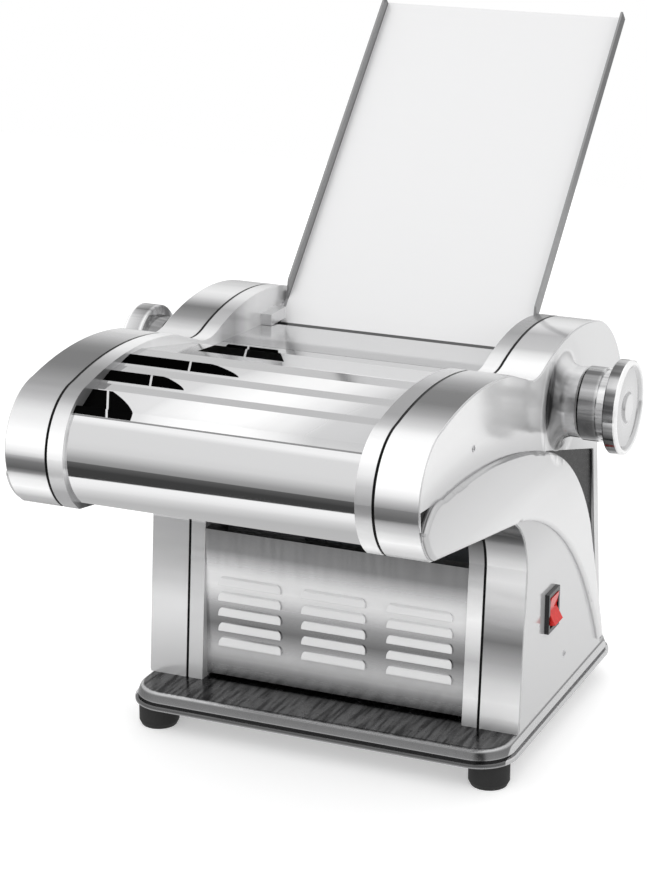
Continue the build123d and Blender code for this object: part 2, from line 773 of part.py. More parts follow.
cutter_drive_gear = train_gear(cutter_low, phases[4], journal_r)
cutter_drive_gear.part.label = "cutter_drive_gear"
export_step(cutter_drive_gear.part, "parts/cutter_drive_gear.step")

drive_phase = mesh_phase(phases[0], train_teeth, fixed_axis, drive_axis, train_teeth)
drive_gear = train_gear(drive_axis, drive_phase, journal_r)
drive_gear.part.label = "drive_gear"
export_step(drive_gear.part, "parts/drive_gear.step")

# Shoulder pins that carry the idlers, fixed to the left frame web.
pin_seat_x = -frame_in_x - frame_web
with BuildPart() as idler_pins:
    for radius, start_x, end_x in ((9.0, pin_seat_x, pin_seat_x - 2.5),
                                   (7.5, pin_seat_x - 2.5, drive_gear_x + drive_gear_w + side_play),
                                   (idler_r, drive_gear_x + drive_gear_w + side_play,
                                    drive_gear_x - side_play),
                                   (8.0, drive_gear_x - side_play, drive_gear_x - side_play - 2.0)):
        with BuildSketch(side.offset(start_x)):
            with Locations(train[1:4]):
                Circle(radius)
        extrude(amount=end_x - start_x)
idler_pins.part.label = "idler_pins"
export_step(idler_pins.part, "parts/idler_pins.step")

# ---- cutter rollers: interleaved discs ----------------------------------------------------------
disc_r = 14.3
groove_r = 12.3
disc_count = 12
cutter_left = -barrel_right
cutter_right = -barrel_left
disc_pitch = (cutter_right - cutter_left) / disc_count
disc_play = 0.35


def cutter_bar(axis, shift, shaft_left):
    """Grooved cutter roller; shift places its discs against the mate's grooves."""
    with BuildPart() as piece:
        add(roller_bar(axis, groove_r, cutter_left, cutter_right, shaft_left, frame_in_x + bush_long).part)
        for number in range(disc_count):
            with BuildSketch(side.offset(cutter_left + (number + shift) * disc_pitch + disc_play / 2)):
                with Locations(axis):
                    Circle(disc_r)
            extrude(amount=disc_pitch / 2 - disc_play)
    return piece


cutter_lower = cutter_bar(cutter_low, 0.0, drive_gear_x)
cutter_lower.part.label = "cutter_lower"
export_step(cutter_lower.part, "parts/cutter_lower.step")

cutter_upper = cutter_bar(cutter_high, 0.5, -frame_in_x - bush_long)
cutter_upper.part.label = "cutter_upper"
export_step(cutter_upper.part, "parts/cutter_upper.step")

pair_gear_x = cutter_right + side_play
cutter_lower_gear = gear_wheel(cutter_low, pair_gear_x, inner_gear_w,
                               gear_points(cutter_low, inner_teeth, 11.2, 15.3, 4.2, 1.4, 90), journal_r)
cutter_lower_gear.part.label = "cutter_lower_gear"
export_step(cutter_lower_gear.part, "parts/cutter_lower_gear.step")

cutter_upper_phase = mesh_phase(90, inner_teeth, cutter_low, cutter_high, inner_teeth)
upper_points = gear_points(cutter_high, inner_teeth, 11.2, 15.3, 4.2, 1.4, cutter_upper_phase)
cutter_upper_gear = gear_wheel(cutter_high, pair_gear_x, inner_gear_w, upper_points, journal_r)
cutter_upper_gear.part.label = "cutter_upper_gear"
export_step(cutter_upper_gear.part, "parts/cutter_upper_gear.step")

# ---- sliding bearing blocks of the moving roller -------------------------------------------------
cam_r = 8.0
cam_rate = gap_travel / knob_turn
cam_gap = 0.15
cam_x = block_out_x + 0.3
cam_w = 5.6
arm_w = 6.0
arm_front = fixed_y - 10.0
arm_back = fixed_y + 1.0
arm_low = moving_z - 6.0
arm_top = knob_z + 23.0
nose_low = knob_z + cam_r + cam_gap
nose_r = 2.0

with BuildPart() as bearing_block_right:
    with BuildSketch(side.offset(frame_in_x + 0.2)):
        with Locations(moving_axis):
            Rectangle(window_y - 2 * block_fit, block_h)
    extrude(amount=block_out_x - frame_in_x - 0.2)
    with BuildSketch(side.offset(frame_in_x + frame_web + 0.1)):
        with Locations(moving_axis):
            Rectangle(window_y + 8, block_h + 6)
    extrude(amount=4.0)
    with BuildSketch(side.offset(frame_in_x)):
        with Locations(moving_axis):
            Circle(journal_r + run_fit)
    extrude(amount=journal_end + side_play - frame_in_x, mode=Mode.SUBTRACT)
    with BuildSketch(side.offset(block_out_x)):
        with BuildLine():
            Polyline((arm_front, arm_low), (arm_back, arm_low), (arm_back, arm_top - arm_w),
                     (knob_y - nose_r, arm_top - arm_w), (knob_y - nose_r, nose_low + nose_r))
            ThreePointArc((knob_y - nose_r, nose_low + nose_r), (knob_y, nose_low),
                          (knob_y + nose_r, nose_low + nose_r))
            Polyline((knob_y + nose_r, nose_low + nose_r), (knob_y + nose_r, arm_top), (arm_front, arm_top),
                     (arm_front, arm_low))
        make_face()
    extrude(amount=arm_w)
bearing_block_right.part.label = "bearing_block_right"
export_step(bearing_block_right.part, "parts/bearing_block_right.step")

bearing_block_left = mirrored(bearing_block_right.part)
bearing_block_left.label = "bearing_block_left"
export_step(bearing_block_left, "parts/bearing_block_left.step")

# ---- thickness knobs with their cam shafts -------------------------------------------------------
knob_end_x = 176.0
left_knob_end_x = 169.2
shaft_reach = 12.0       # how far the shaft ends inside the knob face
cam_start = -radians(12)
cam_stop = knob_turn + radians(12)
cam_steps = 12


def cam_shaft(shaft_end):
    """Spindle with the rising cam that lifts a bearing block as the knob is turned."""
    rise = []
    for step in range(cam_steps + 1):
        turn = cam_start + (cam_stop - cam_start) * step / cam_steps
        radius = cam_r + cam_rate * max(turn, 0) + cam_rate * min(turn, 0)
        rise.append((knob_y + radius * sin(turn), knob_z + radius * cos(turn)))
    last = cam_r + cam_rate * cam_stop
    first = cam_r + cam_rate * cam_start
    back = (cam_stop + 2 * pi + cam_start) / 2
    middle = (knob_y + (last + first) / 2 * sin(back), knob_z + (last + first) / 2 * cos(back))
    with BuildPart() as piece:
        with BuildSketch(side.offset(cam_x)):
            with BuildLine():
                Spline(*rise)
                ThreePointArc(rise[-1], middle, rise[0])
            make_face()
        extrude(amount=cam_w)
        with BuildSketch(side.offset(cam_x)):
            with Locations((knob_y, knob_z)):
                Circle(journal_r)
        extrude(amount=shaft_end - cam_x)
    return piece


knob_shaft_right = cam_shaft(knob_end_x - shaft_reach)
knob_shaft_right.part.label = "knob_shaft_right"
export_step(knob_shaft_right.part, "parts/knob_shaft_right.step")

knob_shaft_left = mirrored(cam_shaft(left_knob_end_x - shaft_reach).part)
knob_shaft_left.label = "knob_shaft_left"
export_step(knob_shaft_left, "parts/knob_shaft_left.step")


def turned(points, end_x):
    """Knob turned about the knob axis; points are (back from the end face, radius)."""
    with BuildPart() as piece:
        with BuildSketch(Plane.XY):
            with BuildLine():
                Polyline(*[(end_x - back, radius) for back, radius in points], close=True)
            make_face()
        revolve(axis=Axis.X)
    with BuildPart() as bore:
        with Locations(Location((end_x - shaft_reach, 0, 0), (0, -90, 0))):
            Cylinder(journal_r, 100, align=(Align.CENTER, Align.CENTER, Align.MIN))
    return (piece.part - bore.part).moved(Location(at(0, knob_y, knob_z)))


knob_start = boss_end_x + 0.5
knob_face = [(0.6, 0), (0.6, 8.6), (1.9, 10.0), (1.9, 24.6), (0.0, 27.2), (0.0, 28.8), (1.2, 30.0)]
knob_long = knob_end_x - knob_start
knob_right = turned([*knob_face, (8.5, 30.0), (9.3, 29.2), (9.3, 22.4), (16.2, 22.4), (16.2, 23.6),
                     (knob_long - 1.0, 23.6), (knob_long, 22.6), (knob_long, 0)], knob_end_x)
knob_right.label = "knob_right"
export_step(knob_right, "parts/knob_right.step")

left_knob_start = left_boss_end_x + 0.5
left_knob_long = left_knob_end_x - left_knob_start
knob_left = mirrored(turned([*knob_face, (13.4, 30.0), (14.2, 29.2), (14.2, 23.6), (left_knob_long, 22.2),
                             (left_knob_long, 0)], left_knob_end_x))
knob_left.label = "knob_left"
export_step(knob_left, "parts/knob_left.step")

# ---- motor, fan and gearbox ----------------------------------------------------------------------
motor_axis = (12.0, 98.0)
motor_r = 34.0
motor_left = -32.0
motor_right = 54.0
motor_shaft_r = 5.0
box_left = -88.0
box_front = -48.0
box_back = 46.0
box_top = 176.0
box_wall = 6.0
cowl_right = 80.0
cowl_wall = 1.8
cradle_y = 58.0
cradle_top = motor_axis[1] - 24.4
fan_r = 28.0
fan_gap = 5.0
fan_w = 11.0
shaft_in = 20.0
output_in = 28.0

box_long = motor_left - box_left
box_deep = box_back - box_front
box_high = box_top - tray_top
box_mid = ((box_left + motor_left) / 2, (box_front + box_back) / 2)

with BuildPart() as gearbox_housing:
    with Locations(at(*box_mid, tray_top)):
        Box(box_long, box_deep, box_high, align=(Align.CENTER, Align.CENTER, Align.MIN))
    fillet(gearbox_housing.edges().filter_by(Axis.X).group_by(Axis.Z)[-1], 14)
    with Locations(at(*box_mid, tray_top + box_wall)):
        Box(box_long - 2 * box_wall, box_deep - 2 * box_wall, box_high - 5 * box_wall,
            align=(Align.CENTER, Align.CENTER, Align.MIN), mode=Mode.SUBTRACT)
    with BuildSketch(side.offset(box_left)):
        with Locations(drive_axis):
            Circle(journal_r + run_fit)
    extrude(amount=output_in, mode=Mode.SUBTRACT)
    with BuildSketch(side.offset(motor_left)):
        with Locations(motor_axis):
            Circle(motor_shaft_r + run_fit)
    extrude(amount=-shaft_in, mode=Mode.SUBTRACT)
gearbox_housing.part.label = "gearbox_housing"
export_step(gearbox_housing.part, "parts/gearbox_housing.step")

with BuildPart() as drive_shaft:
    with BuildSketch(side.offset(drive_gear_x)):
        with Locations(drive_axis):
            Circle(journal_r)
    extrude(amount=box_left + output_in - side_play - drive_gear_x)
drive_shaft.part.label = "drive_shaft"
export_step(drive_shaft.part, "parts/drive_shaft.step")

with BuildPart() as motor_body:
    with BuildSketch(side.offset(motor_left)):
        with Locations(motor_axis):
            Circle(motor_r)
            with PolarLocations(motor_r, 18):
                Rectangle(5.0, 2.4, mode=Mode.SUBTRACT)
            Circle(motor_shaft_r + run_fit, mode=Mode.SUBTRACT)
    extrude(amount=motor_right - motor_left)
motor_body.part.label = "motor_body"
export_step(motor_body.part, "parts/motor_body.step")

with BuildPart() as motor_cradle:
    with BuildSketch(side.offset(-16)):
        with Locations((motor_axis[0], tray_top)):
            Rectangle(cradle_y, cradle_top - tray_top, align=(Align.CENTER, Align.MIN))
        with Locations(motor_axis):
            Circle(motor_r, mode=Mode.SUBTRACT)
    extrude(amount=60)
motor_cradle.part.label = "motor_cradle"
export_step(motor_cradle.part, "parts/motor_cradle.step")

with BuildPart() as fan_cowl:
    with BuildSketch(side.offset(motor_right)):
        with Locations(motor_axis):
            Circle(motor_r)
            Circle(motor_r - cowl_wall, mode=Mode.SUBTRACT)
    extrude(amount=cowl_right - motor_right)
    with BuildSketch(side.offset(cowl_right)):
        with Locations(motor_axis):
            Circle(motor_r)
            with PolarLocations(motor_r * 0.6, 10):
                SlotOverall(motor_r * 0.5, 5, mode=Mode.SUBTRACT)
    extrude(amount=-cowl_wall)
fan_cowl.part.label = "fan_cowl"
export_step(fan_cowl.part, "parts/fan_cowl.step")

with BuildPart() as motor_shaft:
    with BuildSketch(side.offset(motor_left - shaft_in + side_play)):
        with Locations(motor_axis):
            Circle(motor_shaft_r)
    extrude(amount=motor_right + fan_gap + fan_w - motor_left + shaft_in - side_play)
motor_shaft.part.label = "motor_shaft"
export_step(motor_shaft.part, "parts/motor_shaft.step")

with BuildPart() as cooling_fan:
    with BuildSketch(side.offset(motor_right + fan_gap)):
        with Locations(motor_axis):
            Circle(11)
            with PolarLocations(fan_r / 2 + 4, 8):
                Rectangle(fan_r - 8, 2.2)
            Circle(motor_shaft_r, mode=Mode.SUBTRACT)
    extrude(amount=fan_w)
cooling_fan.part.label = "cooling_fan"
export_step(cooling_fan.part, "parts/cooling_fan.step")

# ---- power switch --------------------------------------------------------------------------------
rocker_y = 15.2
rocker_half_z = 9.2
rocker_tip_x = 8.6       # how far the rocker's ends stand out from its pivot
cavity_y = rocker_y + 1.0
cavity_z = 2 * rocker_half_z + 3.0
cavity_deep = 11.0
pivot_x = face_x - 3.5
pivot_r = 1.5
rocker_tilt = -9.0       # at rest the lower end stands out

with BuildPart() as switch_housing:
    with BuildSketch(side.offset(face_x)):
        with Locations((switch_y, switch_z)):
            Rectangle(bezel_y, bezel_z)
    extrude(amount=bezel_rise)
    with BuildSketch(side.offset(face_x - body_deep)):
        with Locations((switch_y, switch_z)):
            Rectangle(body_y, body_z)
    extrude(amount=body_deep)
    with BuildSketch(side.offset(face_x - cavity_deep)):
        with Locations((switch_y, switch_z)):
            Rectangle(cavity_y, cavity_z)
    extrude(amount=20, mode=Mode.SUBTRACT)
    with Locations(Location(at(pivot_x, switch_y, switch_z), (90, 0, 0))):
        Cylinder(pivot_r + run_fit, cavity_y + 1.4, mode=Mode.SUBTRACT)
switch_housing.part.label = "switch_housing"
export_step(switch_housing.part, "parts/switch_housing.step")

with BuildPart() as rocker_body:
    with BuildSketch(Plane.XZ.offset(-rocker_y / 2)):
        with BuildLine():
            Polyline((-4.5, -6.8), (5.0, -rocker_half_z), (rocker_tip_x, -rocker_half_z), (5.4, 0.0),
                     (rocker_tip_x, rocker_half_z), (5.0, rocker_half_z), (-4.5, 6.8), close=True)
        make_face()
    extrude(amount=rocker_y)
    with Locations(Location((0, 0, 0), (90, 0, 0))):
        Cylinder(pivot_r, cavity_y + 1.0)
rocker = rocker_body.part.rotate(Axis.Y, rocker_tilt).moved(Location(at(pivot_x, switch_y, switch_z)))
rocker.label = "rocker_switch"
export_step(rocker, "parts/rocker_switch.step")

# ---- wiring hardware: capacitor, terminal strip, cable gland -------------------------------------
web_out_x = frame_in_x + frame_web
with BuildPart() as run_capacitor:
    with Locations(at(web_out_x, 30.0, 62.0)):
        Box(26, 44, 28, align=(Align.MIN, Align.CENTER, Align.CENTER))
    fillet(run_capacitor.edges().filter_by(Axis.X), 4)
run_capacitor.part.label = "run_capacitor"
export_step(run_capacitor.part, "parts/run_capacitor.step")

strip_y = 10.0
strip_z = 140.0
with BuildPart() as terminal_strip:
    with Locations(at(web_out_x, strip_y, strip_z)):
        Box(12, 46, 16, align=(Align.MIN, Align.CENTER, Align.CENTER))
    with BuildSketch(side.offset(web_out_x + 12)):
        with Locations((strip_y, strip_z)):
            with GridLocations(11, 0, 4, 1):
                Circle(2.4)
    extrude(amount=-6, mode=Mode.SUBTRACT)
terminal_strip.part.label = "terminal_strip"
export_step(terminal_strip.part, "parts/terminal_strip.step")

with BuildPart() as cable_gland:
    with BuildSketch(back_plane):
        with Locations((gland_x, 0)):
            Circle(10.5)
    extrude(amount=4)
    with BuildSketch(back_plane.offset(4)):
        with Locations((gland_x, 0)):
            Circle(8.0)
    extrude(amount=8, taper=8)
    with BuildSketch(back_plane.offset(-sheet - 7)):
        with Locations((gland_x, 0)):
            Circle(gland_r)
    extrude(amount=sheet + 7)
    with BuildSketch(back_plane.offset(-sheet - 4)):
        with Locations((gland_x, 0)):
            RegularPolygon(9.5, 6, major_radius=False)
    extrude(amount=4)
    with BuildSketch(back_plane.offset(-20)):
        with Locations((gland_x, 0)):
            Circle(3.4)
    extrude(amount=40, mode=Mode.SUBTRACT)
cable_gland.part.label = "cable_gland"
export_step(cable_gland.part, "parts/cable_gland.step")

# ---- feed tray, its chute and its hooks ----------------------------------------------------------
tray_line = 213.4        # front face of the feed tray: z = y + tray_line
feed_half_x = 89.5
feed_long = 282.8        # length of the tray along its slope
root2 = sqrt(2)
feed_low_y = 27.0
feed_high_y = feed_low_y + feed_long / root2
feed_t = 1.5
flange_h = 7.0
flange_low_y = 50.0

with BuildPart() as feed_tray:
    with BuildSketch(side.offset(-feed_half_x)):
        with BuildLine():
            Polyline((feed_low_y, feed_low_y + tray_line), (feed_high_y, feed_high_y + tray_line),
                     (feed_high_y + feed_t / root2, feed_high_y + tray_line - feed_t / root2),
                     (feed_low_y + feed_t / root2, feed_low_y + tray_line - feed_t / root2), close=True)
        make_face()
    extrude(amount=2 * feed_half_x)
    for start_x in (-feed_half_x, feed_half_x - feed_t):
        with BuildSketch(side.offset(start_x)):
            with BuildLine():
                Polyline((flange_low_y, flange_low_y + tray_line), (feed_high_y, feed_high_y + tray_line),
                         (feed_high_y - flange_h / root2, feed_high_y + tray_line + flange_h / root2),
                         (flange_low_y + 3, flange_low_y + tray_line + 3 + flange_h * root2), close=True)
            make_face()
        extrude(amount=feed_t)
feed_tray.part.label = "feed_tray"
export_step(feed_tray.part, "parts/feed_tray.step")

chute_line = tray_line - (feed_t + 0.3) * root2
inlet_chute = sheet_between([(-10.0, 207.5), (4.0, 4.0 + chute_line), (36.0, 36.0 + chute_line)], guard_t)
inlet_chute.part.label = "inlet_chute"
export_step(inlet_chute.part, "parts/inlet_chute.step")

hook_x = 8.0
hook_y = 26.0
hook_z = 257.5
with BuildPart() as tray_hooks:
    with Locations(at(frame_in_x, hook_y, hook_z), at(-frame_in_x + hook_x, hook_y, hook_z)):
        Box(hook_x, 23, 7.6, align=(Align.MAX, Align.CENTER, Align.CENTER))
tray_hooks.part.label = "tray_hooks"
export_step(tray_hooks.part, "parts/tray_hooks.step")

# ---- scrapers and combs --------------------------------------------------------------------------
scraper_bar_r = 3.0
blade_half_t = 0.6


def scraper(bar_at, tip_at, left_x, right_x):
    """Cross bar with a thin blade that reaches to a roller."""
    way = radians(along(bar_at, tip_at)[0])
    rise = (-sin(way) * blade_half_t, cos(way) * blade_half_t)
    with BuildPart() as piece:
        with BuildSketch(side.offset(-frame_in_x)):
            with Locations(bar_at):
                Circle(scraper_bar_r)
        extrude(amount=2 * frame_in_x)
        with BuildSketch(side.offset(left_x)):
            with BuildLine():
                Polyline((bar_at[0] - rise[0], bar_at[1] - rise[1]),
                         (tip_at[0] - rise[0], tip_at[1] - rise[1]),
                         (tip_at[0] + rise[0], tip_at[1] + rise[1]),
                         (bar_at[0] + rise[0], bar_at[1] + rise[1]), close=True)
            make_face()
        extrude(amount=right_x - left_x)
    return piece


def off_roller(axis, distance, angle):
    """Point at a distance and an angle (degrees) from a roller axis."""
    return axis[0] + distance * cos(radians(angle)), axis[1] + distance * sin(radians(angle))


scraper_right_x = frame_in_x - 0.6
fixed_scraper = scraper((-60.0, 187.0), off_roller(fixed_axis, dough_r + 0.9, 200), barrel_left + 0.6,
                        scraper_right_x)
moving_scraper = scraper((-62.0, 246.0), off_roller(moving_axis, dough_r + gap_travel + 0.9, 160),
                         barrel_left + 0.6, scraper_right_x)
with BuildPart() as dough_scrapers:
    add(fixed_scraper.part)
    add(moving_scraper.part)
dough_scrapers.part.label = "dough_scrapers"
export_step(dough_scrapers.part, "parts/dough_scrapers.step")

lower_comb = scraper((-226.0, 216.0), off_roller(cutter_low, disc_r + 0.9, 205), -scraper_right_x,
                     cutter_right - 0.6)
upper_comb = scraper((-226.0, 258.0), off_roller(cutter_high, disc_r + 0.9, 176), -scraper_right_x,
                     cutter_right - 0.6)
with BuildPart() as cutter_combs:
    add(lower_comb.part)
    add(upper_comb.part)
cutter_combs.part.label = "cutter_combs"
export_step(cutter_combs.part, "parts/cutter_combs.step")
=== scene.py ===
from math import radians, sin

import bpy
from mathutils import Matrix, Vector


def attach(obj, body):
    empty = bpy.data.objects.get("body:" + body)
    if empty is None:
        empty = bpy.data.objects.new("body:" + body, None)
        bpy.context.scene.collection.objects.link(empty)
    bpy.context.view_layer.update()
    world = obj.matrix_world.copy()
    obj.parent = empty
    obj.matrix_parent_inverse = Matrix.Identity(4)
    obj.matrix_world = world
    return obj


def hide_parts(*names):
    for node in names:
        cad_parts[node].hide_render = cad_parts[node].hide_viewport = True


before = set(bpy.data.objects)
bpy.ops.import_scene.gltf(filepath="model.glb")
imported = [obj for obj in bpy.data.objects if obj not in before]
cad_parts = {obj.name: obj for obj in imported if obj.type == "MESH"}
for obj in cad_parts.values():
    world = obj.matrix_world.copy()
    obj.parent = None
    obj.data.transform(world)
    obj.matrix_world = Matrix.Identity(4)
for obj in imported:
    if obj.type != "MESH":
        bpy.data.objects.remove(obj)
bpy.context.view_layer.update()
bpy.context.scene.view_settings.view_transform = "Standard"
print("frame loaded")

# camera: three-quarter view from the front right, slightly above
cameraSettings = {
    "place": (0.62050, -1.49759, 0.71920),
    "lookAt": (-0.0364, 0.0082, 0.1795),
    "lens": 105.52,
    "clipStart": 0.05,
}


# lamps and cameras look down their own -Z
def turnTo(item, target):
    direction = Vector(target) - item.location
    item.rotation_euler = direction.to_track_quat("-Z", "Y").to_euler()


def addCamera(settings):
    data = bpy.data.cameras.new("mainCamera")
    data.lens = settings["lens"]
    data.clip_start = settings["clipStart"]
    camera = bpy.data.objects.new("mainCamera", data)
    camera.location = settings["place"]
    turnTo(camera, settings["lookAt"])
    bpy.context.scene.collection.objects.link(camera)
    bpy.context.scene.camera = camera


addCamera(cameraSettings)
print("camera set")


def newTree(name):
    material = bpy.data.materials.new(name)
    material.use_nodes = True
    tree = material.node_tree
    return material, tree, tree.nodes["Principled BSDF"]


def addNode(tree, kind, **settings):
    node = tree.nodes.new(kind)
    for key, value in settings.items():
        setattr(node, key, value)
    return node


# an input takes another node's output or a plain value
def setInput(tree, socket, value):
    if isinstance(value, bpy.types.NodeSocket):
        tree.links.new(value, socket)
    else:
        socket.default_value = value


def grey(level, blue=None):
    return (level, level, level if blue is None else blue, 1)


# color ramp; a stop is (place, grey level) or (place, whole color)
def ramp(tree, source, stops):
    stops = list(stops)
    node = addNode(tree, "ShaderNodeValToRGB")
    elements = node.color_ramp.elements
    while len(elements) < len(stops):
        elements.new(0.5)
    for element, (place, value) in zip(elements, stops):
        element.position = place
        element.color = value if isinstance(value, tuple) else grey(value)
    tree.links.new(source, node.inputs["Fac"])
    return node.outputs["Color"]


def mathNode(tree, operation, *values, clamp=False):
    node = addNode(tree, "ShaderNodeMath", operation=operation, use_clamp=clamp)
    for socket, value in zip(node.inputs, values):
        setInput(tree, socket, value)
    return node.outputs[0]


# first input, second input and output that the Mix node uses for each kind of data
mixSockets = {"FLOAT": (2, 3, 0), "RGBA": (6, 7, 2)}


def mixNode(tree, kind, factor, first, second, blend="MIX"):
    node = addNode(tree, "ShaderNodeMix", data_type=kind, blend_type=blend)
    firstInput, secondInput, output = mixSockets[kind]
    setInput(tree, node.inputs["Factor"], factor)
    setInput(tree, node.inputs[firstInput], first)
    setInput(tree, node.inputs[secondInput], second)
    return node.outputs[output]


def mixValue(tree, factor, first, second):
    return mixNode(tree, "FLOAT", factor, first, second)


def mixColor(tree, factor, first, second, blend="MIX"):
    return mixNode(tree, "RGBA", factor, first, second, blend)


# runs from 0 at start to 1 at end, whichever of the two is larger
def rangeShare(tree, value, start, end, kind="LINEAR"):
    node = addNode(tree, "ShaderNodeMapRange", interpolation_type=kind)
    node.inputs["From Min"].default_value = start
    node.inputs["From Max"].default_value = end
    tree.links.new(value, node.inputs["Value"])
    return node.outputs["Result"]


def smoothStep(tree, value, start, end):
    return rangeShare(tree, value, start, end, "SMOOTHSTEP")


# grey run over a value, whose stops needn't lie between 0 and 1
def valueRamp(tree, value, stops):
    first, last = stops[0][0], stops[-1][0]
    shares = [((place - first) / (last - first), level) for place, level in stops]
    return ramp(tree, rangeShare(tree, value, first, last), shares)


def coordinates(tree, kind="Object"):
    coords = addNode(tree, "ShaderNodeTexCoord")
    split = addNode(tree, "ShaderNodeSeparateXYZ")
    tree.links.new(coords.outputs[kind], split.inputs[0])
    return split.outputs


# grey run along one object axis, stops in metres
def placeRamp(tree, axis, stops):
    return valueRamp(tree, coordinates(tree)[axis], stops)


# offsets and distance from a line that runs across the machine through (y, z)
def fromAxis(tree, along, height, axis):
    aside = mathNode(tree, "SUBTRACT", along, axis[0])
    up = mathNode(tree, "SUBTRACT", height, axis[1])
    squares = [mathNode(tree, "MULTIPLY", offset, offset) for offset in (aside, up)]
    return aside, up, mathNode(tree, "SQRT", mathNode(tree, "ADD", *squares))


def stretchedNoise(tree, scale, stretch, detail=3.0):
    coords = addNode(tree, "ShaderNodeTexCoord")
    mapping = addNode(tree, "ShaderNodeMapping")
    mapping.inputs["Scale"].default_value = stretch
    tree.links.new(coords.outputs["Object"], mapping.inputs["Vector"])
    noise = addNode(tree, "ShaderNodeTexNoise")
    noise.inputs["Scale"].default_value = scale
    noise.inputs["Detail"].default_value = detail
    tree.links.new(mapping.outputs["Vector"], noise.inputs["Vector"])
    return noise.outputs["Fac"]


def addBump(tree, shader, height, strength, distance):
    bump = addNode(tree, "ShaderNodeBump")
    bump.inputs["Strength"].default_value = strength
    bump.inputs["Distance"].default_value = distance
    tree.links.new(height, bump.inputs["Height"])
    tree.links.new(bump.outputs["Normal"], shader.inputs["Normal"])


# reflected rays, and rays that come straight or through something clear
def rayKinds(tree):
    path = addNode(tree, "ShaderNodeLightPath").outputs
    seen = mathNode(tree, "MAXIMUM", path["Is Camera Ray"], path["Is Transmission Ray"])
    return path["Is Glossy Ray"], seen


# world: white behind, even light on the object, and soft boxes above that only polished steel reflects
studio = {
    "diffuse": 0.72,
    # (degrees above the horizon, brightness)
    "elevations": [(-90, 0.05), (-30, 0.05), (-24, 0.1), (-18, 0.2), (-10, 0.38), (-1, 0.6), (9, 0.82),
                   (20, 0.87), (46, 0.88), (53, 1.14), (64, 1.12), (75, 0.95), (90, 0.8)],
    # a dark spot in that studio: its direction, and how it fades by the cosine to it
    "darkSide": (0.363, -0.877, 0.316), "darkSpread": [(0.0, 1.0), (0.93, 1.0), (0.985, 0.12)],
}


def addWorld(settings):
    world = bpy.data.worlds.new("studio")
    bpy.context.scene.world = world
    world.use_nodes = True
    tree = world.node_tree
    tree.nodes.clear()
    direction = addNode(tree, "ShaderNodeTexCoord").outputs["Generated"]
    # the direction's height runs from -1 to 1, the ramp from 0 to 1
    height = mathNode(tree, "MULTIPLY_ADD", coordinates(tree, "Generated")["Z"], 0.5, 0.5)
    stops = [(0.5 + 0.5 * sin(radians(angle)), value) for angle, value in settings["elevations"]]
    toward = addNode(tree, "ShaderNodeVectorMath", operation="DOT_PRODUCT")
    tree.links.new(direction, toward.inputs[0])
    toward.inputs[1].default_value = settings["darkSide"]
    dim = ramp(tree, toward.outputs["Value"], settings["darkSpread"])
    reflected = mixColor(tree, 1.0, ramp(tree, height, stops), dim, "MULTIPLY")
    glossy, seen = rayKinds(tree)
    light = mixColor(tree, glossy, grey(settings["diffuse"]), reflected)
    background = addNode(tree, "ShaderNodeBackground")
    tree.links.new(mixColor(tree, seen, light, grey(1)), background.inputs["Color"])
    output = addNode(tree, "ShaderNodeOutputWorld")
    tree.links.new(background.outputs[0], output.inputs["Surface"])


addWorld(studio)

# floor: a white table top; its reflection is a run of its own that ends a little in front of the machine
tableTop = {
    "front": -0.62, "back": 1.6, "side": 1.3, "color": 0.9, "rough": 0.9, "gloss": 0.1, "lift": 0.36,
    # the reflected run lies a little askew, by this slope about this X
    "skew": 0.333, "middle": -0.17,
    "reflected": [(-0.6, 0.06), (-0.458, 0.06), (-0.456, 1.15), (-0.42, 1.14), (-0.37, 1.1),
                  (-0.33, 1.0), (-0.3, 0.86), (-0.27, 0.76), (-0.21, 0.6), (-0.05, 0.6), (0.15, 0.75),
                  (0.4, 0.95), (1.2, 1.0)],
}


def addFloor(settings):
    mesh = bpy.data.meshes.new("studioFloor")
    side, front, back = settings["side"], settings["front"], settings["back"]
    corners = [(-side, front, 0), (side, front, 0), (side, back, 0), (-side, back, 0)]
    mesh.from_pydata(corners, [], [(0, 1, 2, 3)])
    floor = bpy.data.objects.new("studioFloor", mesh)
    bpy.context.scene.collection.objects.link(floor)
    material, tree, shader = newTree("tableWhite")
    shader.inputs["Base Color"].default_value = grey(settings["color"])
    shader.inputs["Roughness"].default_value = settings["rough"]
    shader.inputs["Specular IOR Level"].default_value = settings["gloss"]
    shader.inputs["Emission Color"].default_value = grey(1)
    glossy, seen = rayKinds(tree)
    lift = mathNode(tree, "MULTIPLY", seen, settings["lift"])
    tree.links.new(lift, shader.inputs["Emission Strength"])
    # what the polished steel mirrors: a soft run of light from the front edge back
    place = coordinates(tree)
    fromMiddle = mathNode(tree, "SUBTRACT", place["X"], settings["middle"])
    aside = mathNode(tree, "MULTIPLY", fromMiddle, settings["skew"])
    run = valueRamp(tree, mathNode(tree, "ADD", place["Y"], aside), settings["reflected"])
    glow = addNode(tree, "ShaderNodeEmission")
    tree.links.new(run, glow.inputs["Color"])
    mix = addNode(tree, "ShaderNodeMixShader")
    for socket, source in zip(mix.inputs, (glossy, shader.outputs[0], glow.outputs[0])):
        tree.links.new(source, socket)
    tree.links.new(mix.outputs[0], tree.nodes["Material Output"].inputs["Surface"])
    mesh.materials.append(material)


addFloor(tableTop)

# lamps: large and soft, left out of the reflections
lamps = {
    "keyLeft": {"place": (-1.3, -1.2, 1.7), "size": 1.4, "power": 8},
    "fillRight": {"place": (1.5, -0.9, 1.3), "size": 1.4, "power": 9},
    "topBack": {"place": (0.0, 1.1, 1.9), "size": 1.6, "power": 7},
    "frontLow": {"place": (-0.3, -1.9, 0.3), "size": 1.2, "power": 8},
}
lampTarget = (0, 0, 0.2)  # about the middle of the machine


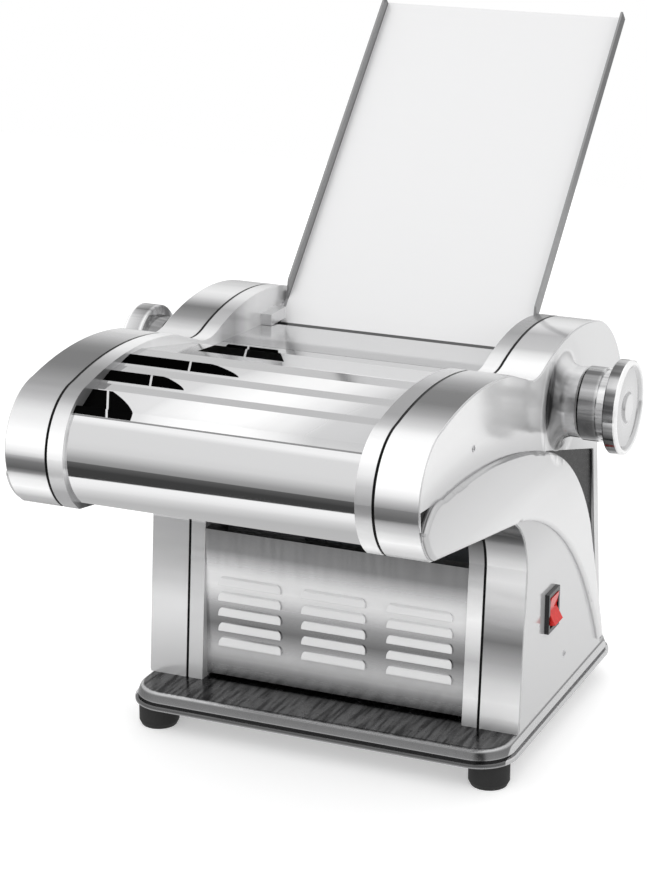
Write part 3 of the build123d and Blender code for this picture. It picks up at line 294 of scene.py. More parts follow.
def addLamps(settings):
    for name, lamp in settings.items():
        data = bpy.data.lights.new(name, "AREA")
        data.size = lamp["size"]
        data.energy = lamp["power"]
        light = bpy.data.objects.new(name, data)
        light.location = lamp["place"]
        turnTo(light, lampTarget)
        light.visible_glossy = False
        bpy.context.scene.collection.objects.link(light)


addLamps(lamps)
print("studio ready")

# plain metals and plastics: roughness (low, high), grain is the noise scale, bump its strength
metals = {
    "mirrorSteel": {"color": (0.78, 0.78, 0.785), "rough": (0.05, 0.09), "grain": 90, "bump": 0.01,
                    "stretch": (0.15, 1, 1)},
    "satinSheet": {"color": (0.8, 0.8, 0.805), "rough": (0.28, 0.36), "grain": 500, "bump": 0.03,
                   "stretch": (0.06, 1, 1)},
    "machinedSteel": {"color": (0.62, 0.62, 0.63), "rough": (0.22, 0.34), "grain": 700, "bump": 0.05,
                      "stretch": (0.2, 1, 1)},
    "castAlloy": {"color": (0.66, 0.67, 0.68), "rough": (0.42, 0.55), "grain": 900, "bump": 0.2},
    "bronze": {"color": (0.62, 0.43, 0.2), "rough": (0.3, 0.42), "grain": 900, "bump": 0.08},
}
plastics = {
    # the black for the seam gaskets also colours the cover inlays, black sheets that stand in the
    # recesses as painted shade and dark reflection
    "gasketAndShadeBlack": {"color": (0.004, 0.004, 0.004), "rough": (0.25, 0.35), "grain": 300, "bump": 0.02,
                  "gloss": 0.1},
    "blackGloss": {"color": (0.012, 0.012, 0.013), "rough": (0.08, 0.14), "grain": 300, "bump": 0.02},
    "blackPlastic": {"color": (0.02, 0.02, 0.021), "rough": (0.42, 0.55), "grain": 900, "bump": 0.1},
    "footRubber": {"color": (0.018, 0.018, 0.018), "rough": (0.6, 0.75), "grain": 1200, "bump": 0.2},
    "motorGrey": {"color": (0.2, 0.22, 0.24), "rough": (0.35, 0.45), "grain": 700, "bump": 0.08},
    "whitePlastic": {"color": (0.8, 0.8, 0.77), "rough": (0.38, 0.48), "grain": 800, "bump": 0.05},
    "switchRed": {"color": (0.78, 0.02, 0.015), "rough": (0.1, 0.16), "grain": 300, "bump": 0.02},
}
# how the grain shows: turn is the noise level of its hollows and ridges, hollow the hollows' share of the
# color, depth that of the bump in metres
metalGrain = {"metallic": 1.0, "turn": (0.3, 0.7), "hollow": 0.965, "depth": 0.0002}
plasticGrain = {"metallic": 0.0, "turn": (0.35, 0.65), "hollow": 0.85, "depth": 0.0003}
polishTurn = (0.3, 0.7)  # noise levels between which the roughness changes
plainGloss = 0.5


def plainFinish(name, settings, grain):
    material, tree, shader = newTree(name)
    color = settings["color"]
    hollow = tuple(part * grain["hollow"] for part in color)
    shader.inputs["Metallic"].default_value = grain["metallic"]
    shader.inputs["Specular IOR Level"].default_value = settings.get("gloss", plainGloss)
    fine = stretchedNoise(tree, settings["grain"], settings.get("stretch", (1, 1, 1)))
    tint = ramp(tree, fine, zip(grain["turn"], (hollow + (1,), color + (1,))))
    tree.links.new(tint, shader.inputs["Base Color"])
    roughness = ramp(tree, fine, zip(polishTurn, settings["rough"]))
    tree.links.new(roughness, shader.inputs["Roughness"])
    addBump(tree, shader, fine, settings["bump"], grain["depth"])
    return material


# polished surfaces: one tone, from 0 for black to 1 for white, sets the color and how far it mirrors
toneSurface = {
    # (tone, red and green, blue)
    "colors": [(0, 0.004, 0.004), (0.06, 0.075, 0.076), (0.15, 0.18, 0.182), (0.35, 0.47, 0.475),
               (0.6, 0.78, 0.785), (0.95, 0.97, 0.972)],
    "metal": [(0, 1.0), (0.3, 0.95), (0.5, 0.7), (0.7, 0.35), (0.95, 0.08)],
    "bandMetal": [(0, 0.6), (0.3, 0.55), (0.5, 0.45), (0.7, 0.3), (0.95, 0.08)],
    "specular": [(0, 0.0), (0.08, 1.0)], "dull": [(0, 0.5), (0.05, 0.0)],
    "grain": 300, "bump": 0.02, "depth": 0.0002,
}


# the bands, steps, hood, knobs, panel, tray and deck pass in tone runs of painted highlight, painted
# reflection and painted shade
def shadeByTone(tree, shader, tone, rough, mirror=0.0, stretch=(0.1, 1, 1), metal="metal"):
    colors = [(place, grey(level, blue)) for place, level, blue in toneSurface["colors"]]
    tree.links.new(ramp(tree, tone, colors), shader.inputs["Base Color"])
    # painted black reflections stay black at a flat view as well
    tree.links.new(ramp(tree, tone, toneSurface["specular"]), shader.inputs["Specular Tint"])
    metallic = mathNode(tree, "MAXIMUM", ramp(tree, tone, toneSurface[metal]), mirror)
    tree.links.new(metallic, shader.inputs["Metallic"])
    fine = stretchedNoise(tree, toneSurface["grain"], stretch)
    polish = ramp(tree, fine, zip(polishTurn, rough))
    dull = ramp(tree, tone, toneSurface["dull"])
    tree.links.new(mathNode(tree, "MAXIMUM", polish, dull), shader.inputs["Roughness"])
    addBump(tree, shader, fine, toneSurface["bump"], toneSurface["depth"])


# painted highlights and dark reflections of the four bands: (Z, tone) up the nose and the foot, (Y, tone)
# along the top
paintedSheens = {
    "coverRight": {
        "nose": [(0.198, 0.5), (0.208, 0.65), (0.215, 0.95), (0.223, 0.45), (0.23, 0.18), (0.237, 0.28),
                 (0.244, 0.6), (0.251, 0.97), (0.27, 0.95)],
        "top": [(-0.228, 0.93), (-0.21, 0.6), (-0.195, 0.36), (-0.18, 0.2), (-0.16, 0.16), (-0.14, 0.27),
                (-0.115, 0.5), (-0.06, 0.75), (-0.04, 0.97), (-0.03, 0.92), (-0.015, 0.52), (0.008, 0.42),
                (0.03, 0.72), (0.05, 0.7), (0.08, 0.6)],
        "foot": [(0.03, 0.4), (0.038, 0.75), (0.048, 0.83), (0.06, 0.6), (0.074, 0.32), (0.088, 0.14),
                 (0.098, 0.26), (0.114, 0.62), (0.128, 0.84), (0.137, 0.76), (0.15, 0.36), (0.165, 0.08)],
    },
    "frameRight": {
        "nose": [(0.198, 0.55), (0.208, 0.96), (0.216, 0.7), (0.226, 0.42), (0.236, 0.33), (0.247, 0.4),
                 (0.256, 0.68), (0.265, 0.95), (0.274, 0.8)],
        "top": [(-0.228, 0.88), (-0.212, 0.5), (-0.2, 0.36), (-0.16, 0.34), (-0.13, 0.5), (-0.11, 0.55),
                (-0.06, 0.75), (-0.042, 0.9), (-0.03, 0.73), (-0.012, 0.45), (0.005, 0.34), (0.04, 0.34),
                (0.08, 0.3)],
        "foot": [(0.03, 0.4), (0.04, 0.68), (0.048, 0.94), (0.06, 0.66), (0.073, 0.44), (0.084, 0.6),
                 (0.1, 0.95), (0.115, 0.68), (0.13, 0.42), (0.142, 0.25), (0.155, 0.08)],
    },
    "coverLeft": {
        "nose": [(0.198, 0.3), (0.208, 0.45), (0.216, 0.94), (0.222, 0.6), (0.229, 0.18), (0.234, 0.26),
                 (0.24, 0.76), (0.247, 0.98), (0.258, 0.66), (0.268, 0.36)],
        "top": [(-0.228, 0.4), (-0.21, 0.33), (-0.19, 0.2), (-0.17, 0.15), (-0.158, 0.18), (-0.14, 0.36),
                (-0.12, 0.58), (-0.105, 0.95), (-0.06, 0.7), (-0.04, 0.67), (-0.024, 0.32), (-0.01, 0.2),
                (0.006, 0.6), (0.018, 0.76), (0.04, 0.6), (0.08, 0.7)],
        "foot": [(0.03, 0.5), (0.1, 0.6), (0.125, 0.5), (0.15, 0.4), (0.17, 0.2)],
    },
    "frameLeft": {
        "nose": [(0.198, 0.4), (0.216, 0.32), (0.226, 0.46), (0.236, 0.75), (0.246, 0.97), (0.256, 0.72),
                 (0.268, 0.36)],
        "top": [(-0.228, 0.36), (-0.21, 0.3), (-0.19, 0.31), (-0.175, 0.45), (-0.15, 0.77),
                (-0.125, 0.97), (-0.06, 0.95), (-0.044, 0.8), (-0.028, 0.5), (-0.01, 0.41), (0.01, 0.66),
                (0.025, 0.76), (0.08, 0.7)],
        "foot": [(0.03, 0.5), (0.1, 0.56), (0.125, 0.45), (0.15, 0.36), (0.17, 0.2)],
    },
}
# where one run hands over to the next, and where a cover's outer face begins
bandLimits = {
    "noseBack": -0.226, "footTop": 0.18, "blend": 0.004, "face": (0.1302, 0.1305),
    "topPower": 1.3, "coverRough": (0.1, 0.16), "frameRough": (0.18, 0.26),
}

# outer face of the covers, painted light throughout: painted shade on the crease, painted light on the
# head and the raised leg, painted shade in a soft valley over the leg, a streaky painted dark reflection
# in the hollow round the boss
coverFace = {
    "crease": (0.1303, 0.1311), "creaseBlend": 0.0002, "creaseShade": 0.55,
    "legFrom": (0.1316, 0.1324), "legMiddle": (-0.118, 0.2295), "legSlope": -0.152, "legBend": -1.06,
    "legRun": [(0.12, 0.72), (0.15, 0.7), (0.18, 0.64), (0.2, 0.52), (0.235, 0.42)],
    "headRun": [(-0.22, 0.97), (-0.14, 0.93), (-0.08, 0.84), (-0.03, 0.66), (0.1, 0.58)],
    "footFrom": (0.17, 0.13), "footTone": 0.5, "valleyShade": 0.3, "valleyWide": 0.03, "mirror": 0.25,
    "boss": (0.001, 0.233), "bossEdge": (0.043, 0.038),
    "bossReflection": [(0.0, 0.4), (0.0215, 0.36), (0.0232, 0.13), (0.031, 0.11), (0.036, 0.3), (0.041, 0.75),
                  (0.06, 0.75)],
    "bossPlain": 0.6, "bossTurn": (-0.9, -0.45), "bossSpread": (-0.008, 0.01),
    "bossStreaks": (85, (0.4, 1, 0.45)), "bossStreakRun": [(0.36, 0.35), (0.64, 2.0)],
}


def paintedFaceLight(tree, across, along, height, face):
    # the leg's upper edge as a shallow curve along the side
    fromMiddle = mathNode(tree, "SUBTRACT", along, face["legMiddle"][0])
    square = mathNode(tree, "MULTIPLY", fromMiddle, fromMiddle)
    bend = mathNode(tree, "MULTIPLY", square, face["legBend"])
    edge = mathNode(tree, "ADD", mathNode(tree, "MULTIPLY", fromMiddle, face["legSlope"]), bend)
    over = mathNode(tree, "SUBTRACT", mathNode(tree, "SUBTRACT", height, face["legMiddle"][1]), edge)
    # painted shade: darker in a soft valley just over the leg's upper edge
    onHead = smoothStep(tree, over, 0.0, face["valleyWide"])
    head = mixValue(tree, onHead, face["valleyShade"], placeRamp(tree, "Y", face["headRun"]))
    onFoot = smoothStep(tree, height, *face["footFrom"])
    plain = mixValue(tree, onFoot, head, face["footTone"])
    onLeg = smoothStep(tree, across, *face["legFrom"])
    leg = mixValue(tree, onLeg, plain, placeRamp(tree, "Z", face["legRun"]))
    # painted reflection: the hollow round the boss is streaky and dark on one side, plain on the other
    aside, up, radius = fromAxis(tree, along, height, face["boss"])
    streaks = ramp(tree, stretchedNoise(tree, *face["bossStreaks"]), face["bossStreakRun"])
    ring = mathNode(tree, "MULTIPLY", valueRamp(tree, radius, face["bossReflection"]), streaks, clamp=True)
    turn = mathNode(tree, "ADD", mathNode(tree, "MULTIPLY", aside, face["bossTurn"][0]),
                    mathNode(tree, "MULTIPLY", up, face["bossTurn"][1]))
    ring = mixValue(tree, smoothStep(tree, turn, *face["bossSpread"]), face["bossPlain"], ring)
    tone = mixValue(tree, smoothStep(tree, radius, *face["bossEdge"]), leg, ring)
    # painted shade along the crease where the outer face meets the band
    low, high = face["crease"]
    blend = face["creaseBlend"]
    onCrease = mathNode(tree, "MULTIPLY", smoothStep(tree, across, low, low + blend),
                        smoothStep(tree, across, high + blend, high))
    return mixValue(tree, onCrease, tone, face["creaseShade"])


# polished band: painted highlights and painted dark reflections follow the outline; a cover's outer face
# has painted light and shade of its own
def bandPaintedSheen(name, rough, face=None):
    material, tree, shader = newTree(name)
    across, along, height = coordinates(tree)
    across = mathNode(tree, "ABSOLUTE", across)
    sheen = paintedSheens[name]
    noseBack, footTop, blend = bandLimits["noseBack"], bandLimits["footTop"], bandLimits["blend"]
    onTop = smoothStep(tree, along, noseBack - blend, noseBack + blend)
    top = mathNode(tree, "POWER", placeRamp(tree, "Y", sheen["top"]), bandLimits["topPower"])
    tone = mixValue(tree, onTop, placeRamp(tree, "Z", sheen["nose"]), top)
    onFoot = smoothStep(tree, height, footTop + blend, footTop - blend)
    tone = mixValue(tree, onFoot, tone, placeRamp(tree, "Z", sheen["foot"]))
    mirror = 0.0
    if face:
        onFace = smoothStep(tree, across, *bandLimits["face"])
        tone = mixValue(tree, onFace, tone, paintedFaceLight(tree, across, along, height, face))
        mirror = mathNode(tree, "MULTIPLY", onFace, face["mirror"])
    shadeByTone(tree, shader, tone, rough, mirror, metal="bandMetal")
    return material


# step cover: painted highlights on the risers that wander back, a grey painted tone on the treads, black
# painted reflections at the left
steps = {
    "riserRun": [(-0.1, 0.46), (-0.05, 0.53), (-0.03, 0.72), (-0.012, 0.88), (0.01, 0.88), (0.03, 0.66),
                 (0.045, 0.54), (0.06, 0.43), (0.12, 0.4)],
    "wander": 0.75, "startY": -0.213, "treadTone": 0.4, "slope": (0.984, 0.992),
    "backY": (-0.145, -0.135), "backTone": 0.45, "rough": (0.06, 0.1), "mirror": 0.3,
}
# painted dark reflections on the treads, the first one running on over the hood
# y is front and back; other edges are X at the front and the way they move left by the back; power bends
# the right edge
darkReflections = {
    "first": {"y": (-0.2297, -0.2045), "right": (-0.0545, 0.0245), "power": 2.2,
              "divider": (-0.07, 0.0122)},
    "second": {"y": (-0.1925, -0.1815), "right": (-0.0384, 0.0186), "power": 1.5,
               "divider": (-0.0606, 0.0042)},
    "third": {"y": (-0.169, -0.1565), "right": (-0.0139, 0.0235), "power": 1.5,
              "divider": (-0.0467, 0.0046)},
    "fourth": {"y": (-0.118, -0.034), "right": (-0.0075, 0.0425), "power": 1.0,
               "divider": (-0.034, 0.037), "left": (-0.066, 0.0195)},
}
darkReflectionLine = 0.0007  # half the width of the line that divides a patch


# mask of one painted dark reflection, with a light line across it
def darkReflectionMask(tree, across, along, patch):
    front, back = patch["y"]
    share = mathNode(tree, "DIVIDE", mathNode(tree, "SUBTRACT", along, front), back - front)
    curve = mathNode(tree, "POWER", mathNode(tree, "MAXIMUM", share, 0.0), patch["power"])

    def edgeAt(edge, way):
        start, move = edge
        return mathNode(tree, "SUBTRACT", start, mathNode(tree, "MULTIPLY", way, move))

    fromDivider = mathNode(tree, "SUBTRACT", across, edgeAt(patch["divider"], share))
    apart = mathNode(tree, "ABSOLUTE", fromDivider)
    tests = [("GREATER_THAN", share, 0), ("LESS_THAN", share, 1), ("GREATER_THAN", apart, darkReflectionLine),
             ("LESS_THAN", across, edgeAt(patch["right"], curve))]
    if "left" in patch:
        tests.append(("GREATER_THAN", across, edgeAt(patch["left"], share)))
    inside = mathNode(tree, *tests[0])
    for test in tests[1:]:
        inside = mathNode(tree, "MULTIPLY", inside, mathNode(tree, *test))
    return inside


def stepPaintedSheen(name):
    material, tree, shader = newTree(name)
    place = coordinates(tree)
    across, along = place["X"], place["Y"]
    behind = mathNode(tree, "SUBTRACT", along, steps["startY"])
    moved = mathNode(tree, "MULTIPLY", behind, steps["wander"])
    riser = valueRamp(tree, mathNode(tree, "SUBTRACT", across, moved), steps["riserRun"])
    level = smoothStep(tree, coordinates(tree, "Normal")["Z"], *steps["slope"])
    tone = mixValue(tree, level, riser, steps["treadTone"])
    tone = mixValue(tree, smoothStep(tree, along, *steps["backY"]), tone, steps["backTone"])
    # the dark reflections are painted black
    for patch in darkReflections.values():
        tone = mixValue(tree, darkReflectionMask(tree, across, along, patch), tone, 0.0)
    shadeByTone(tree, shader, tone, steps["rough"], steps["mirror"])
    return material


# rolled hood: mirror steel up to a painted dark line, above it the first riser's painted highlight and
# painted dark reflection run on
hood = {
    "line": (0.2617, 0.2625), "lineTone": 0.2, "steel": grey(0.78, 0.785),
    "rough": (0.05, 0.09), "mirror": 0.3,
}


def hoodPaintedSheen(name):
    material, tree, shader = newTree(name)
    across, along, height = coordinates(tree)
    low, high = hood["line"]
    onPatch = darkReflectionMask(tree, across, along, darkReflections["first"])
    riser = mixValue(tree, onPatch, valueRamp(tree, across, steps["riserRun"]), 0.0)
    overLine = mathNode(tree, "GREATER_THAN", height, high)
    tone = mixValue(tree, overLine, hood["lineTone"], riser)
    shadeByTone(tree, shader, tone, hood["rough"], hood["mirror"])
    # below the line the tone gives way to the plain steel
    onTone = mathNode(tree, "GREATER_THAN", height, low)
    for socket, plain, mixer in ((shader.inputs["Base Color"], hood["steel"], mixColor),
                                 (shader.inputs["Metallic"], 1.0, mixValue)):
        toned = socket.links[0].from_socket
        tree.links.new(mixer(tree, onTone, plain, toned), socket)
    return material


# knobs: painted reflections: a dark streaky barrel, a painted highlight on the neck, a grey face in a
# painted white highlight on the rim
knob = {
    "axis": (0.001, 0.233),
    # (X, tone) along the barrel
    "right": {"faceFrom": (0.1737, 0.174),
              "barrel": [(0.14, 0.01), (0.1486, 0.01), (0.1492, 0.22), (0.158, 0.24), (0.161, 0.5),
                         (0.1645, 0.5), (0.166, 0.2), (0.1735, 0.26), (0.1745, 0.5)]},
    "left": {"faceFrom": (0.1669, 0.1672),
             "barrel": [(0.13, 0.16), (0.1545, 0.2), (0.156, 0.4), (0.158, 0.18), (0.166, 0.26),
                        (0.169, 0.45)]},
    # (radius, tone)
    "face": [(0.0, 0.62), (0.0082, 0.58), (0.0092, 0.38), (0.0108, 0.54), (0.0235, 0.46), (0.0262, 0.5),
             (0.0274, 0.95), (0.03, 0.95)],
    "streaks": (75, (0.02, 1, 1)), "streakRun": [(0.38, 0.45), (0.62, 1.9)],
    "rough": (0.08, 0.14), "barrelMirror": 0.9, "faceMirror": 0.3, "stretch": (1, 0.1, 0.1),
}


def knobPaintedSheen(name, side):
    material, tree, shader = newTree(name)
    across, along, height = coordinates(tree)
    across = mathNode(tree, "ABSOLUTE", across)
    radius = fromAxis(tree, along, height, knob["axis"])[2]
    face = valueRamp(tree, radius, knob["face"])
    onFace = smoothStep(tree, across, *side["faceFrom"])
    streaks = ramp(tree, stretchedNoise(tree, *knob["streaks"]), knob["streakRun"])
    barrel = mathNode(tree, "MULTIPLY", valueRamp(tree, across, side["barrel"]), streaks, clamp=True)
    tone = mixValue(tree, onFace, barrel, face)
    mirror = mixValue(tree, onFace, knob["barrelMirror"], knob["faceMirror"])
    shadeByTone(tree, shader, tone, knob["rough"], mirror, knob["stretch"])
    return material


# louvred panel: painted shade under the head, a painted light belt, painted shade again, and louvres
# painted light as if they catch it
panel = {
    "run": [(0.03, 0.2), (0.036, 0.42), (0.044, 0.58), (0.052, 0.52), (0.068, 0.2), (0.08, 0.34),
            (0.085, 0.48), (0.096, 0.76), (0.104, 0.66), (0.114, 0.36), (0.12, 0.2), (0.137, 0.15)],
    "louvreFrom": (-0.05845, -0.05905), "louvreHighlight": 0.68, "rough": (0.16, 0.24), "stretch": (1, 1, 0.1),
}


def panelPaintedLight(name):
    material, tree, shader = newTree(name)
    standing = smoothStep(tree, coordinates(tree)["Y"], *panel["louvreFrom"])
    tone = mixValue(tree, standing, placeRamp(tree, "Z", panel["run"]), panel["louvreHighlight"])
    shadeByTone(tree, shader, tone, panel["rough"], stretch=panel["stretch"])
    return material


# tray: painted dark streaky reflections with a painted highlight on the rim, lighter on the ledge outside
# the covers
tray = {
    "run": [(0.016, 0.5), (0.018, 0.4), (0.019, 0.15), (0.0213, 0.1), (0.0222, 0.4), (0.0232, 0.2),
            (0.027, 0.17), (0.028, 0.4), (0.0286, 0.36), (0.0289, 0.07), (0.03, 0.07)],
    "streaks": (60, (6.0, 0.6, 1), 4.0), "streakRun": [(0.38, 0.7), (0.64, 1.5)],
    "streaksFrom": (0.0284, 0.0288), "ledge": (0.1304, 0.1308), "ledgeTone": 0.5,
    "rough": (0.16, 0.3), "stretch": (1, 1, 1),
}


def trayPaintedSheen(name):
    material, tree, shader = newTree(name)
    place = coordinates(tree)
    streaks = ramp(tree, stretchedNoise(tree, *tray["streaks"]), tray["streakRun"])
    onTop = smoothStep(tree, place["Z"], *tray["streaksFrom"])
    wave = mixValue(tree, onTop, 1.0, streaks)
    tone = mathNode(tree, "MULTIPLY", placeRamp(tree, "Z", tray["run"]), wave)
    onLedge = smoothStep(tree, mathNode(tree, "ABSOLUTE", place["X"]), *tray["ledge"])
    tone = mixValue(tree, onLedge, tone, mathNode(tree, "MAXIMUM", tone, tray["ledgeTone"]))
    shadeByTone(tree, shader, tone, tray["rough"], stretch=tray["stretch"])
    return material


# deck behind the steps: soft grey painted reflection, darker along its front
deck = {"run": [(-0.04, 0.33), (-0.012, 0.36), (-0.005, 0.52), (0.04, 0.52)], "rough": (0.14, 0.2)}


def deckPaintedSheen(name):
    material, tree, shader = newTree(name)
    shadeByTone(tree, shader, placeRamp(tree, "Y", deck["run"]), deck["rough"])
    return material


# feed tray: near white satin sheet between darker folded sides, a dark line low down by the deck
feedSheet = {
    "side": (0.0874, 0.0878), "sideTone": 0.25, "sheetTone": 0.66,
    "line": (0.2447, 0.2464), "lineTone": 0.1, "rough": (0.3, 0.4),
}


def feedFinish(name):
    material, tree, shader = newTree(name)
    place = coordinates(tree)
    onSide = smoothStep(tree, mathNode(tree, "ABSOLUTE", place["X"]), *feedSheet["side"])
    tone = mixValue(tree, onSide, feedSheet["sheetTone"], feedSheet["sideTone"])
    low, high = feedSheet["line"]
    onLine = mathNode(tree, "MULTIPLY", mathNode(tree, "GREATER_THAN", place["Z"], low),
                      mathNode(tree, "LESS_THAN", place["Z"], high))
    tone = mixValue(tree, onLine, tone, feedSheet["lineTone"])
    shadeByTone(tree, shader, tone, feedSheet["rough"])
    return material


# the band, step, hood, knob, panel, tray and deck materials carry painted highlights, reflections and
# shade
finishesAndPaintedLight = {name: plainFinish(name, settings, metalGrain) for name, settings in metals.items()}
finishesAndPaintedLight.update({name: plainFinish(name, settings, plasticGrain) for name, settings in plastics.items()})
finishesAndPaintedLight.update({
    "coverRight": bandPaintedSheen("coverRight", bandLimits["coverRough"], coverFace),
    "coverLeft": bandPaintedSheen("coverLeft", bandLimits["coverRough"], coverFace),
    "frameRight": bandPaintedSheen("frameRight", bandLimits["frameRough"]),
    "frameLeft": bandPaintedSheen("frameLeft", bandLimits["frameRough"]),
    "stepSteel": stepPaintedSheen("stepSteel"),
    "hoodSteel": hoodPaintedSheen("hoodSteel"),
    "knobRight": knobPaintedSheen("knobRight", knob["right"]),
    "knobLeft": knobPaintedSheen("knobLeft", knob["left"]),
    "panelSteel": panelPaintedLight("panelSteel"),
    "traySteel": trayPaintedSheen("traySteel"),
    "deckSteel": deckPaintedSheen("deckSteel"),
    "feedSteel": feedFinish("feedSteel"),
})
# nodes that aren't named here are machined steel
nodeMaterialName = {
    "base_tray": "traySteel", "rubber_feet": "footRubber",
    "side_frame_right": "frameRight", "side_frame_left": "frameLeft",
    "cover_right": "coverRight", "cover_left": "coverLeft",
    # the cover inlays are black sheets standing for painted shade and dark reflection in the cover
    # recesses
    "seam_gaskets": "gasketAndShadeBlack", "cover_inlays": "gasketAndShadeBlack",
    "front_hood": "hoodSteel", "step_cover": "stepSteel", "top_deck": "deckSteel",
    "motor_cover": "panelSteel", "lower_guard": "mirrorSteel", "rear_panel": "satinSheet",
    "feed_tray": "feedSteel", "tray_hooks": "satinSheet", "inlet_chute": "satinSheet",
    "dough_guide": "satinSheet", "dough_scrapers": "satinSheet", "cutter_combs": "satinSheet",
    "knob_right": "knobRight", "knob_left": "knobLeft",
    "roller_bushes": "bronze", "knob_bushes": "bronze",
    "bearing_block_right": "castAlloy", "bearing_block_left": "castAlloy",
    "gearbox_housing": "castAlloy", "motor_cradle": "castAlloy",
    "motor_body": "motorGrey", "fan_cowl": "motorGrey", "cooling_fan": "whitePlastic",
    "run_capacitor": "whitePlastic", "terminal_strip": "whitePlastic", "cable_gland": "blackPlastic",
    "switch_housing": "blackGloss", "rocker_switch": "switchRed",
}


def dressNodes():
    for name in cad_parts:
        piece = bpy.data.objects[name]
        material = finishesAndPaintedLight[nodeMaterialName.get(name, "machinedSteel")]
        if not piece.data.materials:
            piece.data.materials.append(material)
        for materialSlot in piece.material_slots:
            materialSlot.material = material


dressNodes()
print("finishes set")

# screw heads with a cross recess, one set on the side covers and one round the rear panel
coverHeads = {
    "body": "machine_frame", "slot": "machined_steel", "finish": "machinedSteel",
    "replaces": ["cover_screws"], "seed": 7,
    "sizes": {"Radius": 0.0021, "Height": 0.0008, "Recess": 0.0006},
    "across": 0.1312, "spots": [(-0.16, 0.249), (0.021, 0.052)],  # (Y, Z) on each side
}
rearHeads = {
    "body": "machine_frame", "slot": "machined_steel", "finish": "machinedSteel",
    "replaces": [], "seed": 7,
    "sizes": {"Radius": 0.0031, "Height": 0.0016, "Recess": 0.0009},
    "across": 0.0845, "heights": (0.044, 0.108, 0.172, 0.236), "from": 0.2,
}
# cutters as shares of the head's radius and height, and the most that a screw turns
headShape = {
    "segments": 28, "rings": 14, "slotLong": 1.15, "underWide": 4.0, "underHigh": 2.0, "turn": 90,
}


# every place comes with the way the head faces
def coverPlaces(settings):
    places = []
    for side in (-1, 1):
        for along, height in settings["spots"]:
            places.append(((side * settings["across"], along, height), (side, 0, 0)))
    return places


# where rays from behind meet the rear panel
def rearPlaces(settings):
    rearPanel = bpy.data.objects["rear_panel"]
    places = []
    for across in (-settings["across"], settings["across"]):
        for height in settings["heights"]:
            start = Vector((across, settings["from"], height))
            met, place, facing, _ = rearPanel.ray_cast(start, Vector((0, -1, 0)))
            if met:
                places.append((tuple(place), tuple(facing)))
    return places


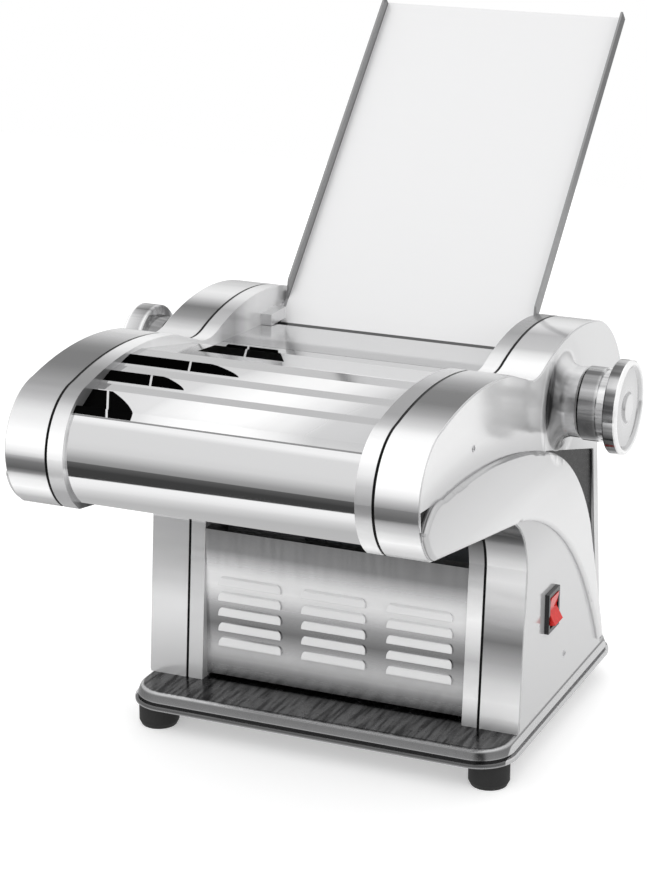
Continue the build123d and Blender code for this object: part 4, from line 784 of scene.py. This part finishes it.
def screwTree():
    tree = bpy.data.node_groups.new("screwHeads", "GeometryNodeTree")
    sockets = {}
    for name, kind in (("Places", "Geometry"), ("Radius", "Float"), ("Height", "Float"),
                       ("Recess", "Float"), ("Seed", "Int"), ("Finish", "Material")):
        socket = tree.interface.new_socket(name, in_out="INPUT", socket_type="NodeSocket" + kind)
        sockets[name] = socket.identifier
    tree.interface.new_socket("Heads", in_out="OUTPUT", socket_type="NodeSocketGeometry")
    given = addNode(tree, "NodeGroupInput").outputs
    result = addNode(tree, "NodeGroupOutput")
    radius, height, recess = given["Radius"], given["Height"], given["Recess"]

    def scaled(value, factor):
        return mathNode(tree, "MULTIPLY", value, factor)

    def vector(*parts):
        node = addNode(tree, "ShaderNodeCombineXYZ")
        for socket, part in zip(node.inputs, parts):
            setInput(tree, socket, part)
        return node.outputs[0]

    def block(size, lift):
        cube = addNode(tree, "GeometryNodeMeshCube")
        tree.links.new(size, cube.inputs["Size"])
        moved = addNode(tree, "GeometryNodeTransform")
        tree.links.new(cube.outputs["Mesh"], moved.inputs["Geometry"])
        tree.links.new(vector(0, 0, lift), moved.inputs["Translation"])
        return moved.outputs["Geometry"]

    dome = addNode(tree, "GeometryNodeMeshUVSphere")
    dome.inputs["Segments"].default_value = headShape["segments"]
    dome.inputs["Rings"].default_value = headShape["rings"]
    tree.links.new(radius, dome.inputs["Radius"])
    pressed = addNode(tree, "GeometryNodeTransform")
    tree.links.new(dome.outputs["Mesh"], pressed.inputs["Geometry"])
    tree.links.new(vector(1, 1, mathNode(tree, "DIVIDE", height, radius)), pressed.inputs["Scale"])
    # two crossed bars and a block under the head are cut away
    slot = scaled(radius, headShape["slotLong"])
    under = scaled(radius, headShape["underWide"])
    underHigh = scaled(height, headShape["underHigh"])
    cut = addNode(tree, "GeometryNodeMeshBoolean", operation="DIFFERENCE")
    tree.links.new(pressed.outputs["Geometry"], cut.inputs["Mesh 1"])
    for size, lift in ((vector(slot, recess, height), height), (vector(recess, slot, height), height),
                       (vector(under, under, underHigh), scaled(height, -1.0))):
        tree.links.new(block(size, lift), cut.inputs["Mesh 2"])
    facing = addNode(tree, "GeometryNodeInputNamedAttribute", data_type="FLOAT_VECTOR")
    facing.inputs["Name"].default_value = "facing"
    align = addNode(tree, "FunctionNodeAlignRotationToVector", axis="Z")
    tree.links.new(facing.outputs["Attribute"], align.inputs["Vector"])
    spread = addNode(tree, "GeometryNodeInstanceOnPoints")
    tree.links.new(given["Places"], spread.inputs["Points"])
    tree.links.new(cut.outputs["Mesh"], spread.inputs["Instance"])
    tree.links.new(align.outputs["Rotation"], spread.inputs["Rotation"])
    # each screw stops at its own turn
    turn = addNode(tree, "FunctionNodeRandomValue", data_type="FLOAT")
    turn.inputs[3].default_value = radians(headShape["turn"])  # the float maximum
    tree.links.new(given["Seed"], turn.inputs["Seed"])
    turned = addNode(tree, "GeometryNodeRotateInstances")
    tree.links.new(spread.outputs["Instances"], turned.inputs["Instances"])
    tree.links.new(vector(0, 0, turn.outputs[1]), turned.inputs["Rotation"])
    real = addNode(tree, "GeometryNodeRealizeInstances")
    tree.links.new(turned.outputs["Instances"], real.inputs["Geometry"])
    dressed = addNode(tree, "GeometryNodeSetMaterial")
    tree.links.new(real.outputs["Geometry"], dressed.inputs["Geometry"])
    tree.links.new(given["Finish"], dressed.inputs["Material"])
    tree.links.new(dressed.outputs["Geometry"], result.inputs["Heads"])
    return tree, sockets


def addScrewHeads(name, settings, heads, tree, sockets):
    mesh = bpy.data.meshes.new(name + "Places")
    mesh.from_pydata([place for place, facing in heads], [], [])
    facings = mesh.attributes.new("facing", "FLOAT_VECTOR", "POINT")
    for item, (place, facing) in zip(facings.data, heads):
        item.vector = facing
    guide = bpy.data.objects.new(name + "Guide", mesh)
    bpy.context.scene.collection.objects.link(guide)
    modifier = guide.modifiers.new("screwHeads", "NODES")
    modifier.node_group = tree
    for key, value in settings["sizes"].items():
        modifier[sockets[key]] = value
    modifier[sockets["Seed"]] = settings["seed"]
    modifier[sockets["Finish"]] = finishesAndPaintedLight[settings["finish"]]
    evaluated = guide.evaluated_get(bpy.context.evaluated_depsgraph_get())
    piece = bpy.data.objects.new(name, bpy.data.meshes.new_from_object(evaluated))
    bpy.data.objects.remove(guide)
    bpy.context.scene.collection.objects.link(piece)
    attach(piece, settings["body"])
    if settings["replaces"]:
        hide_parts(*settings["replaces"])
    print(name, len(heads), "heads,", len(piece.data.polygons), "faces")


headTree, headSockets = screwTree()
addScrewHeads("coverScrewHeads", coverHeads, coverPlaces(coverHeads), headTree, headSockets)
addScrewHeads("rearScrewHeads", rearHeads, rearPlaces(rearHeads), headTree, headSockets)
